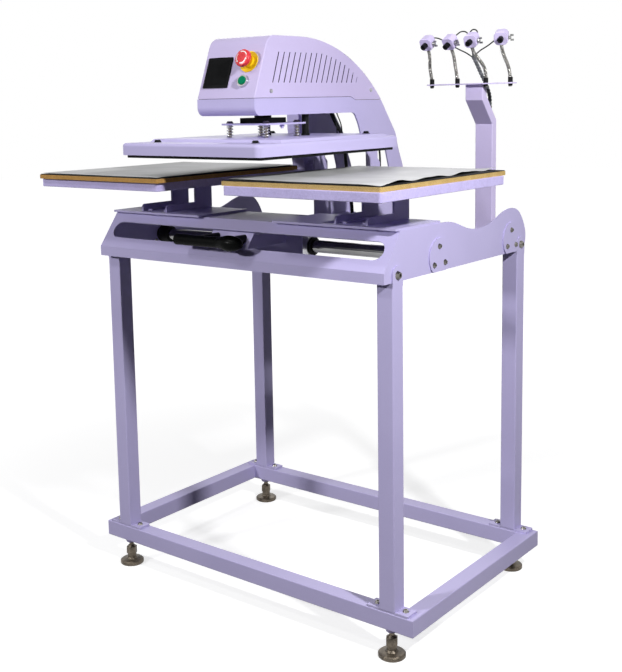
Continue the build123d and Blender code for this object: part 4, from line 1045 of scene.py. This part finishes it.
def wind_tube(name, points, radius_at, segments, material):
    """A closed tube along points; radius_at(angle, distance) gives its radius there."""
    shape = bmesh.new()
    bmesh.ops.create_grid(shape, x_segments=len(points) - 1, y_segments=segments, size=0.5)
    across = (points[1] - points[0]).orthogonal().normalized()
    frames, distance = [], 0.0
    for index, point in enumerate(points):
        before, after = points[max(index - 1, 0)], points[min(index + 1, len(points) - 1)]
        along = (after - before).normalized()
        across = (across - along * across.dot(along)).normalized()
        if index:
            distance += (point - points[index - 1]).length
        frames.append((point, across.copy(), along.cross(across), distance))
    for v in shape.verts:
        point, right, up, distance = frames[round((v.co.x + 0.5) * (len(points) - 1))]
        angle = 2 * pi * (v.co.y + 0.5)
        v.co = point + (right * cos(angle) + up * sin(angle)) * radius_at(angle, distance)
    bmesh.ops.remove_doubles(shape, verts=shape.verts, dist=1e-6)
    bmesh.ops.holes_fill(shape, edges=[e for e in shape.edges if e.is_boundary], sides=segments + 1)
    bmesh.ops.recalc_face_normals(shape, faces=shape.faces)
    mesh = bpy.data.meshes.new(name)
    shape.to_mesh(mesh)
    shape.free()
    for face in mesh.polygons:
        face.use_smooth = len(face.vertices) < 5
    mesh.materials.append(material)
    tube = bpy.data.objects.new(name, mesh)
    scene.collection.objects.link(tube)
    return tube


wrap_plastic = make_finish(
    "wrap_plastic",
    deep=(0.035, 0.037, 0.041),
    tone=(0.125, 0.13, 0.145),
    gloss=(0.38, 0.52),
    grain_scale=700, drift_scale=160, relief=0.3, relief_mm=0.04, speckle=0.3, shine=0.2,
)


def wrap_radius(angle, distance):
    turn = (angle / (2 * pi) + distance / 0.0085) % 1
    step = min(turn, 1 - turn)
    return 0.0048 if step > 0.2 else 0.0036 + 0.0012 * (step / 0.2) ** 4


wrap_line = read_line(wrap_places, 3, 36)
spiral_wrap = wind_tube("spiral_wrap", wrap_line, wrap_radius, 36, wrap_plastic)
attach(spiral_wrap, "stand")
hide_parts("lamp_cables")


# Goosenecks: flexible necks wound from chromed steel strip, 8.8 mm across with a ridge every
# 4 mm, standing in black ferrules on the crossbar. They hold the lamp blocks.
# Painted dark reflection: the chrome's base colour runs in patches down to near black, as here it
# mirrors a white background.
neck_chrome = make_finish(
    "neck_chrome",
    deep=(0.03, 0.029, 0.027),
    tone=(0.40, 0.39, 0.37),
    gloss=(0.12, 0.24),
    grain_scale=500, drift_scale=130, relief=0.3, relief_mm=0.04, speckle=0.5, metal=1.0,
)
lamp_heads = (
    (0.186, 0.174, 1.341, (-0.02, -0.86, -0.50), -0.010),
    (0.259, 0.239, 1.340, (-0.12, -0.82, -0.56), -0.006),
    (0.338, 0.300, 1.343, (0.08, -0.90, -0.42), 0.006),
    (0.404, 0.382, 1.346, (0.30, -0.87, -0.38), -0.004),
)
neck_radius = 0.0044
ridge_pitch = 0.0040
groove_depth = 0.0010


def ridge_radius(angle, distance):
    turn = (angle / (2 * pi) + distance / ridge_pitch) % 1
    return neck_radius - groove_depth * (1 - sin(pi * turn)) ** 1.3


for number, (base_x, head_x, head_z, aim, bow) in enumerate(lamp_heads, start=1):
    aim = Vector(aim).normalized()
    across = Vector((-aim.y, aim.x, 0)).normalized()
    head_up = aim.cross(across)
    foot = Vector((base_x, 0.326, 1.2395))
    tip = Vector((head_x, 0.319, head_z)) - head_up * 0.017
    middle_x = base_x + bow / 2 + (head_x - base_x) * 0.3
    middle = Vector((middle_x, (foot.y + tip.y) / 2, (foot.z + tip.z) / 2))
    bulge = (middle - (foot + tip) / 2) * 0.9
    line = read_line(
        (
            foot - Vector((0, 0, 0.010)),
            foot + Vector((0, 0, 0.016)),
            middle + bulge,
            tip - head_up * 0.020,
            tip + head_up * 0.002,
        ),
        4,
        96,
    )
    neck = wind_tube(f"gooseneck_{number}", line, ridge_radius, 20, neck_chrome)
    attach(neck, "stand")
    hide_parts("goosenecks")
